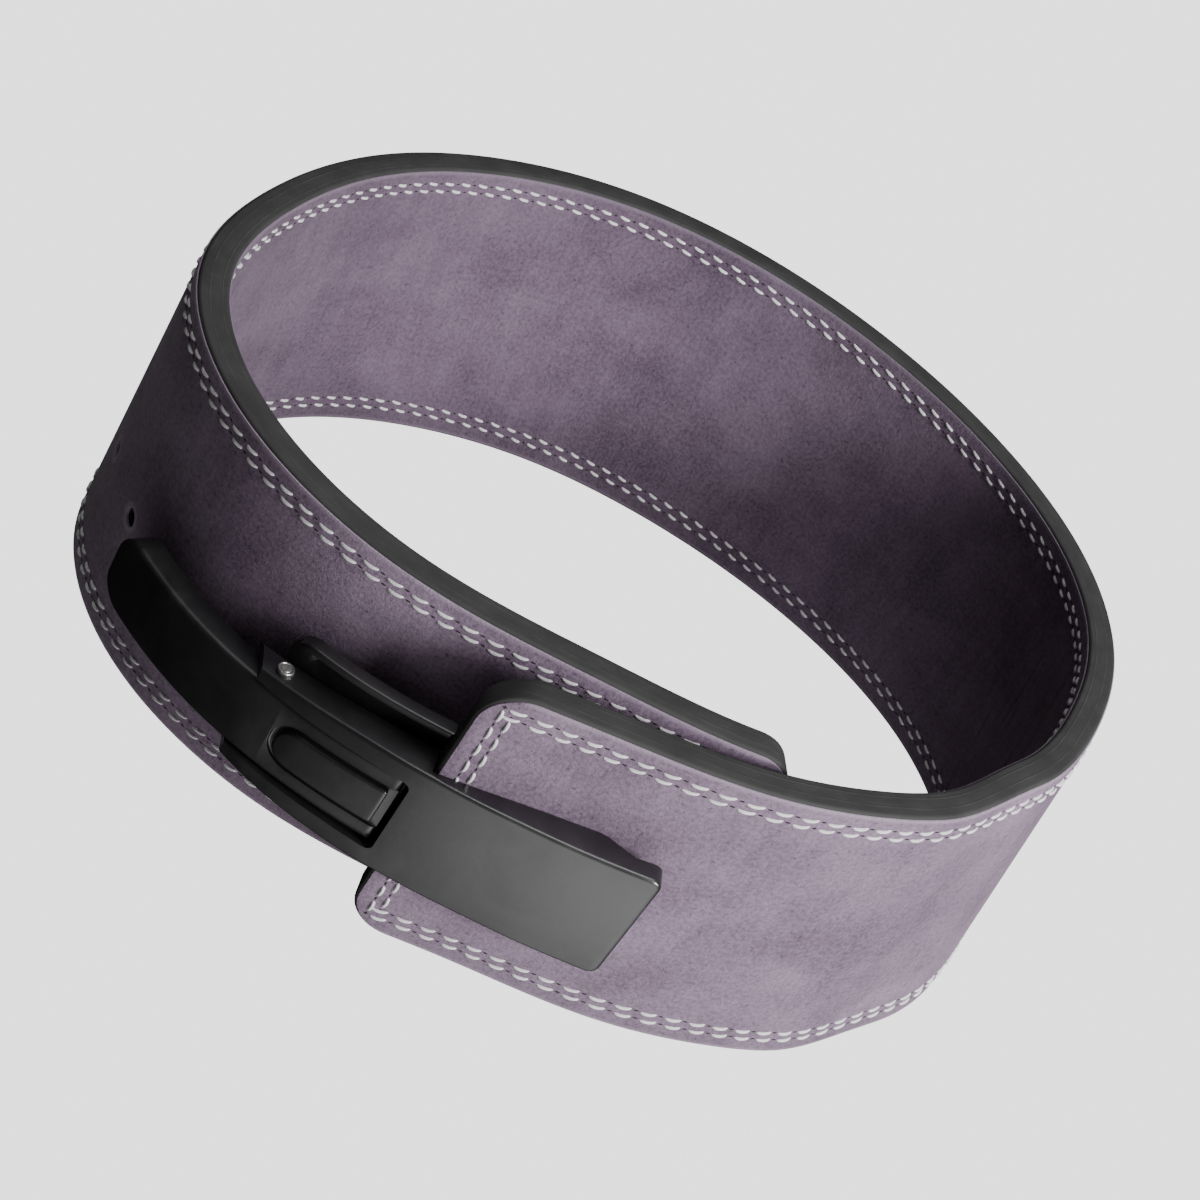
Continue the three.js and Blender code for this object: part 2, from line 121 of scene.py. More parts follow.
@dataclass
class BeltPath:
    """The closed line that the strap winds along, and every place measured from it.

    A place on the belt is (along, below, out): the distance from the inner end, the depth below
    the top rim, and the distance outward from the middle of the inner layer.
    """

    strap_width: float = 102.0
    strap_thick: float = 10.2
    clearance: float = 0.3
    overlap: float = 85.0
    loop_length: float = 300.0
    loop_depth: float = 264.0
    inner_end_share: float = 0.041
    end_lift: float = 12.0
    lift_reach: float = 121.0
    step_start: float = 90.0
    step_length: float = 63.0
    lean_mean: float = 2.2
    lean_once: tuple[float, float] = (4.6, 165.0)
    lean_twice: tuple[float, float] = (5.6, 52.0)
    samples: int = 1600
    shift: Vector = field(default_factory=lambda: Vector((0.0, 0.0, 0.0)))

    def __post_init__(self) -> None:
        """Place the control points and measure the line."""
        self.points = []
        for row in LOOP_FORM:
            angle = math.radians(row.direction)
            self.points.append(Vector((
                self.loop_length / 2 * row.reach * math.cos(angle),
                self.loop_depth / 2 * row.reach * math.sin(angle),
            )))
        self.runs = [0.0]
        last = self.at(0.0)
        for k in range(1, self.samples + 1):
            here = self.at(k / self.samples)
            self.runs.append(self.runs[-1] + (here - last).length)
            last = here
        self.loop = self.runs[-1]
        self.strap = self.loop + self.overlap

    def at(self, t: float, slope: bool = False) -> Vector:
        """A point of the closed cubic B-spline, or its derivative.

        Args:
            t: the place on the curve, where 1 is once round.
            slope: True for the derivative.

        Returns:
            The point or the derivative in the plane.
        """
        count = len(self.points)
        place = (t % 1.0) * count
        first = int(place)
        f = place - first
        if slope:
            weights = (
                -((1 - f) ** 2) / 2,
                (3 * f * f - 4 * f) / 2,
                (-3 * f * f + 2 * f + 1) / 2,
                f * f / 2,
            )
        else:
            weights = (
                (1 - f) ** 3 / 6,
                (3 * f ** 3 - 6 * f * f + 4) / 6,
                (-3 * f ** 3 + 3 * f * f + 3 * f + 1) / 6,
                f ** 3 / 6,
            )
        total = Vector((0.0, 0.0))
        for k, weight in enumerate(weights):
            total += self.points[(first + k - 1) % count] * weight
        return total

    def parameter(self, along: float) -> float:
        """The curve parameter at a distance along the strap."""
        target = ((self.inner_end_share + along / self.loop) % 1.0) * self.loop
        low = 0
        high = self.samples
        while high - low > 1:
            middle = (low + high) // 2
            if self.runs[middle] <= target:
                low = middle
            else:
                high = middle
        step = self.runs[high] - self.runs[low]
        return (low + (target - self.runs[low]) / step) / self.samples

    def lean(self, along: float) -> float:
        """How far the strap's wall leans outward at its top, in radians."""
        turn = 360.0 * along / self.loop
        once, once_peak = self.lean_once
        twice, twice_peak = self.lean_twice
        return math.radians(
            self.lean_mean
            + once * math.cos(math.radians(turn - once_peak))
            + twice * math.cos(math.radians(2 * turn - twice_peak))
        )

    def place(self, along: float, below: float, out: float) -> Vector:
        """A place on the belt, in metres in the model's frame."""
        t = self.parameter(along)
        point = self.at(t)
        slope = self.at(t, slope=True).normalized()
        above = self.strap_width / 2 - below
        reach = out + above * math.tan(self.lean(along))
        return Vector((
            (point.x - slope.y * reach) * MM,
            (point.y + slope.x * reach) * MM,
            (self.strap_width - below) * MM,
        )) + self.shift

    def layer_out(self, along: float) -> float:
        """How far out the middle of the strap lies as it winds over its own inner end."""
        rise = smoother_step((self.step_start - (self.loop - along)) / self.step_length)
        q = max(0.0, 1 - (self.strap - along) / self.lift_reach)
        lift = self.end_lift * (0.67 * q + 0.33 * q * q)
        return rise * (self.strap_thick + self.clearance) + lift

    def align(self, node: str, half: float, corner: float) -> None:
        """Bring the path to where a CAD node lies.

        Args:
            node: the node that holds the strap's core.
            half: half the thickness of that core.
            corner: the radius of its corners, which reach less far than the rest.
        """
        low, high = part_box(node)
        spots = []
        steps = 400
        for k in range(steps + 1):
            along = self.strap * k / steps
            middle = self.layer_out(along)
            inset = corner if min(along, self.strap - along) < corner else 0.0
            for below in (inset, self.strap_width - inset):
                for out in (-half, half):
                    spots.append(self.place(along, below, middle + out))
        for axis in range(2):
            own = (min(s[axis] for s in spots) + max(s[axis] for s in spots)) / 2
            self.shift[axis] = (low[axis] + high[axis]) / 2 - own
        self.shift.z = low[2]


@dataclass(frozen=True)
class FaceRow:
    """The height of a plate's face over the base plate's line, at a share of the plate's length."""

    share: float
    over: float


class HeightCurve:
    """A smooth curve through a few heights."""

    def __init__(self, places: Sequence[float], heights: Sequence[float]) -> None:
        """Keep the places, which rise, and the heights there."""
        self.places = list(places)
        self.heights = list(heights)

    def __call__(self, x: float) -> float:
        """The height at x, held level past the ends."""
        places = self.places
        x = clamp(x, places[0], places[-1])
        k = 1
        while k < len(places) - 1 and x >= places[k]:
            k += 1
        t0, t1 = places[k - 1], places[k]
        before, t_before = (k - 2, places[k - 2]) if k >= 2 else (k, t1)
        after, t_after = (k + 1, places[k + 1]) if k + 1 < len(places) else (k - 1, t0)
        half = (t1 - t0) / 2
        wp = half / (t0 - t_before)
        wn = half / (t_after - t1)
        p = (x - t0) / (t1 - t0)
        return (
            (-wp * p ** 3 + 2 * wp * p * p - wp * p) * self.heights[before]
            + ((1 + wp) * p ** 3 + (-1.5 - 2 * wp) * p * p + (wp - 0.5) * p + 1) * self.heights[k - 1]
            + ((-1 - wn) * p ** 3 + (1.5 + wn) * p * p + 0.5 * p) * self.heights[k]
            + (wn * p ** 3 - wn * p * p) * self.heights[after]
        )


def box_bmesh(low: Sequence[float], high: Sequence[float]) -> bmesh.types.BMesh:
    """A box between two corners."""
    bm = bmesh.new()
    bmesh.ops.create_cube(bm, size=1.0)
    size = Vector(high) - Vector(low)
    bmesh.ops.scale(bm, vec=size, verts=bm.verts)
    bmesh.ops.translate(bm, vec=(Vector(high) + Vector(low)) / 2, verts=bm.verts)
    return bm


def bevel_where(
    bm: bmesh.types.BMesh,
    radius: float,
    steps: int,
    wanted: Callable[[Vector, Vector], bool],
) -> None:
    """Round the edges whose two ends pass a test.

    Args:
        bm: the mesh.
        radius: the size of the rounding.
        steps: how many facets it has.
        wanted: the test on an edge's two ends.
    """
    edges = [e for e in bm.edges if wanted(e.verts[0].co, e.verts[1].co)]
    bmesh.ops.bevel(
        bm, geom=edges, offset=radius, offset_type="OFFSET", segments=steps, profile=0.5,
        affect="EDGES", material=-1, clamp_overlap=True,
    )


def upright_at(x: float) -> Callable[[Vector, Vector], bool]:
    """The test for upright edges at one x."""
    return lambda a, b: abs(a.x - x) < NEAR and abs(b.x - x) < NEAR and abs(a.z - b.z) > 0.1


def level_at(z: float) -> Callable[[Vector, Vector], bool]:
    """The test for edges that lie at one height."""
    return lambda a, b: abs(a.z - z) < NEAR and abs(b.z - z) < NEAR


def plain_object(bm: bmesh.types.BMesh, name: str) -> bpy.types.Object:
    """A linked object from a mesh in the making, which is freed."""
    mesh = bpy.data.meshes.new(name)
    bm.to_mesh(mesh)
    bm.free()
    obj = bpy.data.objects.new(name, mesh)
    bpy.context.scene.collection.objects.link(obj)
    return obj


def evaluated(obj: bpy.types.Object, *leftovers: bpy.types.Object) -> bmesh.types.BMesh:
    """The mesh of an object with its modifiers done; the object and the leftovers are removed."""
    bpy.context.view_layer.update()
    graph = bpy.context.evaluated_depsgraph_get()
    bm = bmesh.new()
    bm.from_object(obj, graph)
    for used in (obj, *leftovers):
        mesh = used.data
        bpy.data.objects.remove(used)
        bpy.data.meshes.remove(mesh)
    return bm


def combine(bm: bmesh.types.BMesh, tool: bmesh.types.BMesh, operation: str) -> bmesh.types.BMesh:
    """Cut or join two solids.

    Args:
        bm: the solid that is worked on.
        tool: the solid that cuts or joins.
        operation: DIFFERENCE or UNION.

    Returns:
        The result.
    """
    body = plain_object(bm, "work_body")
    cutter = plain_object(tool, "work_tool")
    modifier = body.modifiers.new("cut", "BOOLEAN")
    modifier.operation = operation
    modifier.solver = "EXACT"
    modifier.object = cutter
    return evaluated(body, cutter)


def soften(bm: bmesh.types.BMesh, width: float, steps: int = 2, angle: float = 40.0) -> bmesh.types.BMesh:
    """Round the edges that are still sharp."""
    body = plain_object(bm, "work_soft")
    modifier = body.modifiers.new("soft", "BEVEL")
    modifier.width = width
    modifier.segments = steps
    modifier.profile = 0.5
    modifier.limit_method = "ANGLE"
    modifier.angle_limit = math.radians(angle)
    return evaluated(body)


def slice_mesh(bm: bmesh.types.BMesh, axis: int, start: float, finish: float, step: float) -> None:
    """Cut a mesh across at even steps, so that it can bend."""
    count = max(1, round((finish - start) / step))
    normal = [0.0, 0.0, 0.0]
    normal[axis] = 1.0
    for k in range(1, count):
        spot = [0.0, 0.0, 0.0]
        spot[axis] = blend(start, finish, k / count)
        geometry = bm.verts[:] + bm.edges[:] + bm.faces[:]
        bmesh.ops.bisect_plane(bm, geom=geometry, plane_co=spot, plane_no=normal, dist=1e-5)


def bend_mesh(bm: bmesh.types.BMesh, bend: Bend) -> None:
    """Bend a flat mesh onto the belt, keeping each vertex's flat place for the finishes."""
    layer = bm.verts.layers.float_vector.get(PLACE) or bm.verts.layers.float_vector.new(PLACE)
    for vert in bm.verts:
        vert[layer] = vert.co * MM
        vert.co = bend(vert.co)


def finish_piece(
    bm: bmesh.types.BMesh,
    name: str,
    material: bpy.types.Material,
    slot: str,
    nodes: Iterable[str] = (),
    sharp: float = 35.0,
) -> bpy.types.Object:
    """Make a finished piece that rides on the belt.

    Args:
        bm: its bent mesh, which is freed.
        name: its name.
        material: its finish.
        slot: not used.
        nodes: the CAD nodes that it stands for.
        sharp: the angle in degrees past which an edge stays sharp in shading.

    Returns:
        The new object.
    """
    bmesh.ops.remove_doubles(bm, verts=bm.verts, dist=1e-7)
    bmesh.ops.recalc_face_normals(bm, faces=bm.faces)
    limit = math.radians(sharp)
    for face in bm.faces:
        face.smooth = True
    for edge in bm.edges:
        edge.smooth = edge.calc_face_angle(0.0) < limit
    obj = plain_object(bm, name)
    obj.data.materials.append(material)
    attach(obj, "root")
    if nodes:
        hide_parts(*nodes)
    LOG.info("%s: %d faces", name, len(obj.data.polygons))
    return obj


class NodeSheet:
    """A short way to lay out a material's nodes."""

    def __init__(self, name: str) -> None:
        """Start a material with one Principled shader."""
        self.material = bpy.data.materials.new(name)
        self.material.use_nodes = True
        self.tree = self.material.node_tree
        self.shader = self.tree.nodes["Principled BSDF"]

    def add(self, kind: str, **settings: object) -> bpy.types.Node:
        """Add a node and set its properties."""
        node = self.tree.nodes.new(kind)
        for key, value in settings.items():
            setattr(node, key, value)
        return node

    def link(self, source: bpy.types.NodeSocket, target: bpy.types.NodeSocket) -> None:
        """Join two sockets."""
        self.tree.links.new(source, target)

    def noise(
        self,
        vector: bpy.types.NodeSocket,
        stretch: tuple[float, float, float],
        detail: float = 4.0,
        rough: float = 0.55,
        warp: float = 0.0,
    ) -> bpy.types.NodeSocket:
        """Noise with its own scale along each axis.

        Args:
            vector: the place that it reads.
            stretch: cycles per metre along each axis.
            detail: how many octaves.
            rough: how strong the fine octaves are.
            warp: distortion.

        Returns:
            The noise value.
        """
        mapping = self.add("ShaderNodeMapping")
        mapping.inputs["Scale"].default_value = stretch
        self.link(vector, mapping.inputs["Vector"])
        noise = self.add("ShaderNodeTexNoise")
        noise.inputs["Scale"].default_value = 1.0
        noise.inputs["Detail"].default_value = detail
        noise.inputs["Roughness"].default_value = rough
        noise.inputs["Distortion"].default_value = warp
        self.link(mapping.outputs["Vector"], noise.inputs["Vector"])
        return noise.outputs["Fac"]

    def levels(
        self,
        value: bpy.types.NodeSocket,
        low: float,
        high: float,
        to_low: float = 0.0,
        to_high: float = 1.0,
    ) -> bpy.types.NodeSocket:
        """Stretch a value from one range to another, smoothly."""
        node = self.add("ShaderNodeMapRange", interpolation_type="SMOOTHSTEP")
        node.inputs["From Min"].default_value = low
        node.inputs["From Max"].default_value = high
        node.inputs["To Min"].default_value = to_low
        node.inputs["To Max"].default_value = to_high
        self.link(value, node.inputs["Value"])
        return node.outputs["Result"]

    def math(
        self,
        operation: str,
        a: bpy.types.NodeSocket | float,
        b: bpy.types.NodeSocket | float = 0.0,
    ) -> bpy.types.NodeSocket:
        """A sum of one or two values."""
        node = self.add("ShaderNodeMath", operation=operation)
        for socket, value in zip(node.inputs, (a, b)):
            if isinstance(value, (int, float)):
                socket.default_value = value
            else:
                self.link(value, socket)
        return node.outputs[0]

    def mix(
        self,
        share: bpy.types.NodeSocket,
        a: bpy.types.NodeSocket | Colour,
        b: bpy.types.NodeSocket | Colour,
    ) -> bpy.types.NodeSocket:
        """A colour between two others."""
        node = self.add("ShaderNodeMix", data_type="RGBA")
        self.link(share, node.inputs["Factor"])
        for name, value in (("A", a), ("B", b)):
            socket = [s for s in node.inputs if s.name == name and s.type == "RGBA"][0]
            if isinstance(value, tuple):
                socket.default_value = (*value, 1.0)
            else:
                self.link(value, socket)
        return [s for s in node.outputs if s.type == "RGBA"][0]

    def bump(self, height: bpy.types.NodeSocket, distance: float, strength: float = 1.0) -> None:
        """Let a height drive the surface, after any bump that is there already."""
        node = self.add("ShaderNodeBump")
        node.inputs["Strength"].default_value = strength
        node.inputs["Distance"].default_value = distance
        self.link(height, node.inputs["Height"])
        earlier = self.shader.inputs["Normal"].links
        if earlier:
            self.link(earlier[0].from_socket, node.inputs["Normal"])
        self.link(node.outputs["Normal"], self.shader.inputs["Normal"])

    def flat_place(self) -> bpy.types.NodeSocket:
        """The flat place that the strap's pieces carry."""
        return self.add("ShaderNodeAttribute", attribute_name=PLACE).outputs["Vector"]

    def object_place(self) -> bpy.types.NodeSocket:
        """Object coordinates."""
        return self.add("ShaderNodeTexCoord").outputs["Object"]

    def paint(self, **values: object) -> None:
        """Set plain values on the shader's own sockets."""
        for name, value in values.items():
            self.shader.inputs[name.replace("_", " ")].default_value = value


@dataclass(frozen=True)
class HoleRow:
    """Where the strap's adjustment holes lie, in millimetres from its inner end and its top rim."""

    first: float = 57.0
    pitch: float = 28.0
    count: int = 8
    below: float = 63.0
    diameter: float = 6.4


@dataclass(frozen=True)
class Suede:
    """Napped leather with cloudy tone, brushed streaks, a fine grain, paler cut edges whose fraying nap also
    carries a painted highlight, and painted shade along crease lines where asked.
    """

    name: str
    dark: Colour = (0.105, 0.072, 0.108)
    light: Colour = (0.36, 0.27, 0.37)
    frayed_highlight: Colour = (0.46, 0.37, 0.47)
    crease_from: float = 640.0
    crease_to: float = 800.0
    # How strongly the colour darkens along crease lines, as painted shade.
    crease_shade: float = 0.0
    strap_width: float = 102.0
    edge_fray_highlight: tuple[float, float] = (1.1, 2.6)
    hole_fray_highlight: tuple[float, float] = (0.5, 1.9)
    holes: HoleRow = HoleRow()

    def fray_highlight(self, sheet: NodeSheet, place: bpy.types.NodeSocket) -> bpy.types.NodeSocket:
        """How far the colour turns paler along the strap's edges and round its holes: the fraying nap there,
        with a painted highlight on it.
        """
        split = sheet.add("ShaderNodeSeparateXYZ")
        sheet.link(place, split.inputs[0])
        half = self.strap_width / 2 * MM
        off_middle = sheet.math("ABSOLUTE", sheet.math("SUBTRACT", split.outputs["Y"], half))
        full, gone = self.edge_fray_highlight
        edge = sheet.levels(off_middle, half - gone * MM, half - full * MM)
        holes = self.holes
        low = (holes.first - holes.pitch / 2) * MM
        past = sheet.math("SUBTRACT", split.outputs["X"], low)
        turn = sheet.math("FLOORED_MODULO", past, holes.pitch * MM)
        across = sheet.math("SUBTRACT", turn, holes.pitch / 2 * MM)
        down = sheet.math("SUBTRACT", split.outputs["Y"], holes.below * MM)
        squares = [sheet.math("MULTIPLY", part, part) for part in (across, down)]
        reach = sheet.math("SQRT", sheet.math("ADD", *squares))
        radius = holes.diameter / 2 * MM
        full, gone = self.hole_fray_highlight
        ring = sheet.levels(reach, radius + full * MM, radius + gone * MM, 1.0, 0.0)
        last = low + holes.count * holes.pitch * MM
        ring = sheet.math("MULTIPLY", ring, sheet.math("LESS_THAN", split.outputs["X"], last))
        ring = sheet.math("MULTIPLY", ring, sheet.math("GREATER_THAN", split.outputs["X"], low))
        return sheet.math("MAXIMUM", edge, ring)

    def creasing(self, sheet: NodeSheet, place: bpy.types.NodeSocket) -> bpy.types.NodeSocket:
        """Where crease lines run across the strap where it bends most; the colour is darkened there as
        painted shade, and the same mask drives their bump.
        """
        split = sheet.add("ShaderNodeSeparateXYZ")
        sheet.link(place, split.inputs[0])
        slant = sheet.add("ShaderNodeMapping")
        slant.inputs["Rotation"].default_value = (0.0, 0.0, math.radians(9.0))
        sheet.link(place, slant.inputs["Vector"])
        folds = sheet.noise(slant.outputs["Vector"], (230.0, 24.0, 0.0), detail=5.0, rough=0.6, warp=0.5)
        begin = sheet.levels(split.outputs["X"], self.crease_from * MM, (self.crease_from + 50) * MM)
        end = sheet.levels(split.outputs["X"], (self.crease_to - 30) * MM, self.crease_to * MM, 1.0, 0.0)
        return sheet.math("MULTIPLY", sheet.levels(folds, 0.5, 0.68), sheet.math("MULTIPLY", begin, end))

    def build(self) -> bpy.types.Material:
        """The material."""
        sheet = NodeSheet(self.name)
        place = sheet.flat_place()
        cloud = sheet.noise(place, (14.0, 18.0, 0.0), detail=6.0, rough=0.62, warp=0.6)
        patch = sheet.noise(place, (45.0, 55.0, 0.0), detail=5.0, rough=0.6)
        brushed = sheet.noise(place, (260.0, 34.0, 0.0), detail=4.0, rough=0.6, warp=0.3)
        nap = sheet.noise(place, (780.0, 700.0, 0.0), detail=4.0, rough=0.75)
        shade = None
        for value, low, high, amount in (
            (cloud, 0.3, 0.7, 0.34), (patch, 0.3, 0.7, 0.2),
            (brushed, 0.3, 0.7, 0.12), (nap, 0.36, 0.64, 0.34),
        ):
            part = sheet.math("MULTIPLY", sheet.levels(value, low, high), amount)
            shade = part if shade is None else sheet.math("ADD", shade, part)
        pits = sheet.noise(place, (620.0, 560.0, 0.0), detail=3.0, rough=0.7, warp=0.4)
        pitted = sheet.math("MULTIPLY", sheet.levels(pits, 0.57, 0.7), 0.3)
        shade = sheet.math("MAXIMUM", sheet.math("SUBTRACT", shade, pitted), 0.0)
        # Along crease lines the colour is darkened as painted shade; the bump gives them relief.
        if self.crease_shade:
            folds = self.creasing(sheet, place)
            kept = sheet.math("SUBTRACT", 1.0, sheet.math("MULTIPLY", folds, self.crease_shade))
            shade = sheet.math("MULTIPLY", shade, kept)
            sheet.bump(sheet.math("SUBTRACT", 1.0, folds), 0.0008, 0.5)
        colour = sheet.mix(shade, self.dark, self.light)
        # Paler nap along the edges and round the holes: real fraying, painted lighter as a highlight as well.
        colour = sheet.mix(sheet.math("MULTIPLY", self.fray_highlight(sheet, place), 0.5), colour, self.frayed_highlight)
        sheet.link(colour, sheet.shader.inputs["Base Color"])
        sheet.paint(
            Roughness=0.95, Specular_IOR_Level=0.12, Sheen_Weight=0.28, Sheen_Roughness=0.4,
            Sheen_Tint=(0.86, 0.8, 0.88, 1.0),
        )
        grain = sheet.noise(place, (1000.0, 900.0, 0.0), detail=3.0, rough=0.75)
        sheet.bump(grain, 0.0005, 0.6)
        sheet.bump(sheet.levels(patch, 0.3, 0.7), 0.0005, 0.3)
        return sheet.material


@dataclass(frozen=True)
class EdgePaint:
    """Charcoal edge paint over stacked leather, with the plies faint under it."""

    name: str
    dark: Colour = (0.046, 0.047, 0.046)
    light: Colour = (0.078, 0.079, 0.077)
    plies: tuple[float, ...] = (-2.2, 1.4)
    drift: float = 0.6

    def build(self) -> bpy.types.Material:
        """The material."""
        sheet = NodeSheet(self.name)
        place = sheet.flat_place()
        wear = sheet.noise(place, (60.0, 60.0, 120.0), detail=6.0, rough=0.65)
        fine = sheet.noise(place, (900.0, 900.0, 2600.0), detail=3.0, rough=0.7)
        wander = sheet.noise(place, (50.0, 50.0, 0.0), detail=3.0)
        split = sheet.add("ShaderNodeSeparateXYZ")
        sheet.link(place, split.inputs[0])
        through = sheet.math("ADD", split.outputs["Z"], sheet.math("MULTIPLY", wander, self.drift * MM))
        lines = None
        for ply in self.plies:
            distance = sheet.math("ABSOLUTE", sheet.math("SUBTRACT", through, (ply + self.drift / 2) * MM))
            line = sheet.levels(distance, 0.0, 0.00035, 1.0, 0.0)
            lines = line if lines is None else sheet.math("MAXIMUM", lines, line)
        patchy = sheet.math("MULTIPLY", lines, sheet.levels(wear, 0.35, 0.65, 0.15, 0.8))
        shade = sheet.math("MULTIPLY", sheet.levels(wear, 0.3, 0.75), 0.6)
        shade = sheet.math("ADD", shade, sheet.math("MULTIPLY", patchy, 0.45))
        colour = sheet.mix(shade, self.dark, self.light)
        sheet.link(colour, sheet.shader.inputs["Base Color"])
        sheet.link(sheet.levels(wear, 0.2, 0.8, 0.6, 0.78), sheet.shader.inputs["Roughness"])
        sheet.paint(Specular_IOR_Level=0.22)
        sheet.bump(fine, 0.00012, 0.5)
        sheet.bump(patchy, 0.0002, 0.5)
        return sheet.material


@dataclass(frozen=True)
class Thread:
    """Waxed white thread with a fine twist."""

    name: str
    dark: Colour = (0.86, 0.83, 0.86)
    light: Colour = (0.98, 0.97, 0.98)

    def build(self) -> bpy.types.Material:
        """The material."""
        sheet = NodeSheet(self.name)
        place = sheet.flat_place()
        soil = sheet.noise(place, (90.0, 90.0, 90.0), detail=4.0)
        colour = sheet.mix(sheet.levels(soil, 0.3, 0.6), self.dark, self.light)
        sheet.link(colour, sheet.shader.inputs["Base Color"])
        sheet.paint(Roughness=0.5, Specular_IOR_Level=0.5, Sheen_Weight=0.6, Sheen_Roughness=0.3)
        twist = sheet.noise(place, (2600.0, 2600.0, 2600.0), detail=1.0)
        sheet.bump(twist, 0.00015, 0.6)
        return sheet.material


@dataclass(frozen=True)
class PaintedHoleShade:
    """Painted shade of a needle hole: a dark matt colour where the hole's shadowed mouth would be."""

    name: str
    dark: Colour = (0.03, 0.022, 0.03)
    light: Colour = (0.06, 0.045, 0.06)

    def build(self) -> bpy.types.Material:
        """The material."""
        sheet = NodeSheet(self.name)
        speck = sheet.noise(sheet.flat_place(), (700.0, 700.0, 700.0), detail=2.0)
        sheet.link(sheet.mix(speck, self.dark, self.light), sheet.shader.inputs["Base Color"])
        sheet.paint(Roughness=1.0, Specular_IOR_Level=0.0)
        return sheet.material


@dataclass(frozen=True)
class CoatedSteel:
    """A satin black coating with a soft orange peel and faint dust."""

    name: str
    dark: Colour = (0.105, 0.105, 0.106)
    light: Colour = (0.135, 0.135, 0.136)
    smooth: float = 0.28
    rough: float = 0.4

    def build(self) -> bpy.types.Material:
        """The material."""
        sheet = NodeSheet(self.name)
        place = sheet.object_place()
        smear = sheet.noise(place, (38.0, 38.0, 38.0), detail=6.0, rough=0.6, warp=0.8)
        peel = sheet.noise(place, (420.0, 420.0, 420.0), detail=2.0)
        dust = sheet.noise(place, (1700.0, 1700.0, 1700.0), detail=2.0)
        spots = sheet.math("MULTIPLY", sheet.levels(dust, 0.66, 0.74), sheet.levels(smear, 0.5, 0.7))
        base = sheet.mix(sheet.levels(smear, 0.3, 0.7), self.dark, self.light)
        colour = sheet.mix(sheet.math("MULTIPLY", spots, 0.35), base, (0.12, 0.12, 0.12))
        sheet.link(colour, sheet.shader.inputs["Base Color"])
        sheet.link(sheet.levels(smear, 0.25, 0.75, self.smooth, self.rough), sheet.shader.inputs["Roughness"])
        sheet.paint(Metallic=0.92, Specular_IOR_Level=0.5)
        sheet.bump(peel, 0.00006, 0.5)
        return sheet.material


@dataclass(frozen=True)
class BareSteel:
    """Dull steel with turned rings and small scratches."""

    name: str
    dark: Colour = (0.28, 0.275, 0.265)
    light: Colour = (0.52, 0.51, 0.49)

    def build(self) -> bpy.types.Material:
        """The material."""
        sheet = NodeSheet(self.name)
        place = sheet.object_place()
        grime = sheet.noise(place, (500.0, 500.0, 500.0), detail=4.0)
        scratch = sheet.noise(place, (3000.0, 300.0, 3000.0), detail=3.0)
        colour = sheet.mix(sheet.levels(grime, 0.3, 0.7), self.dark, self.light)
        sheet.link(colour, sheet.shader.inputs["Base Color"])
        sheet.link(sheet.levels(scratch, 0.2, 0.8, 0.3, 0.5), sheet.shader.inputs["Roughness"])
        sheet.paint(Metallic=0.9)
        sheet.bump(scratch, 0.00008, 0.5)
        return sheet.material


@dataclass
class Finishes:
    """The finishes of the belt, each made once."""

    outer_suede: bpy.types.Material = field(default_factory=Suede("suede_outside").build)
    inner_suede: bpy.types.Material = field(
        default_factory=Suede(
            "suede_inside", (0.075, 0.05, 0.078), (0.25, 0.185, 0.257), (0.3, 0.24, 0.31), crease_shade=0.9,
        ).build,
    )
    edge: bpy.types.Material = field(default_factory=EdgePaint("edge_paint").build)
    thread: bpy.types.Material = field(default_factory=Thread("white_thread").build)
    # Painted shade for the needle holes.
    hole_shade: bpy.types.Material = field(default_factory=PaintedHoleShade("needle_hole_shade").build)
    coated: bpy.types.Material = field(default_factory=CoatedSteel("satin_black_steel").build)
    steel: bpy.types.Material = field(default_factory=BareSteel("rivet_steel").build)


@dataclass(frozen=True)
class StitchRow:
    """How far a row of stitches lies inside the strap's edges."""

    top: float
    bottom: float
    ends: float


@dataclass(frozen=True)
class StitchForm:
    """A stitch's length, as a share of the pitch, and how far its middle bows."""

    share: float
    bow: float


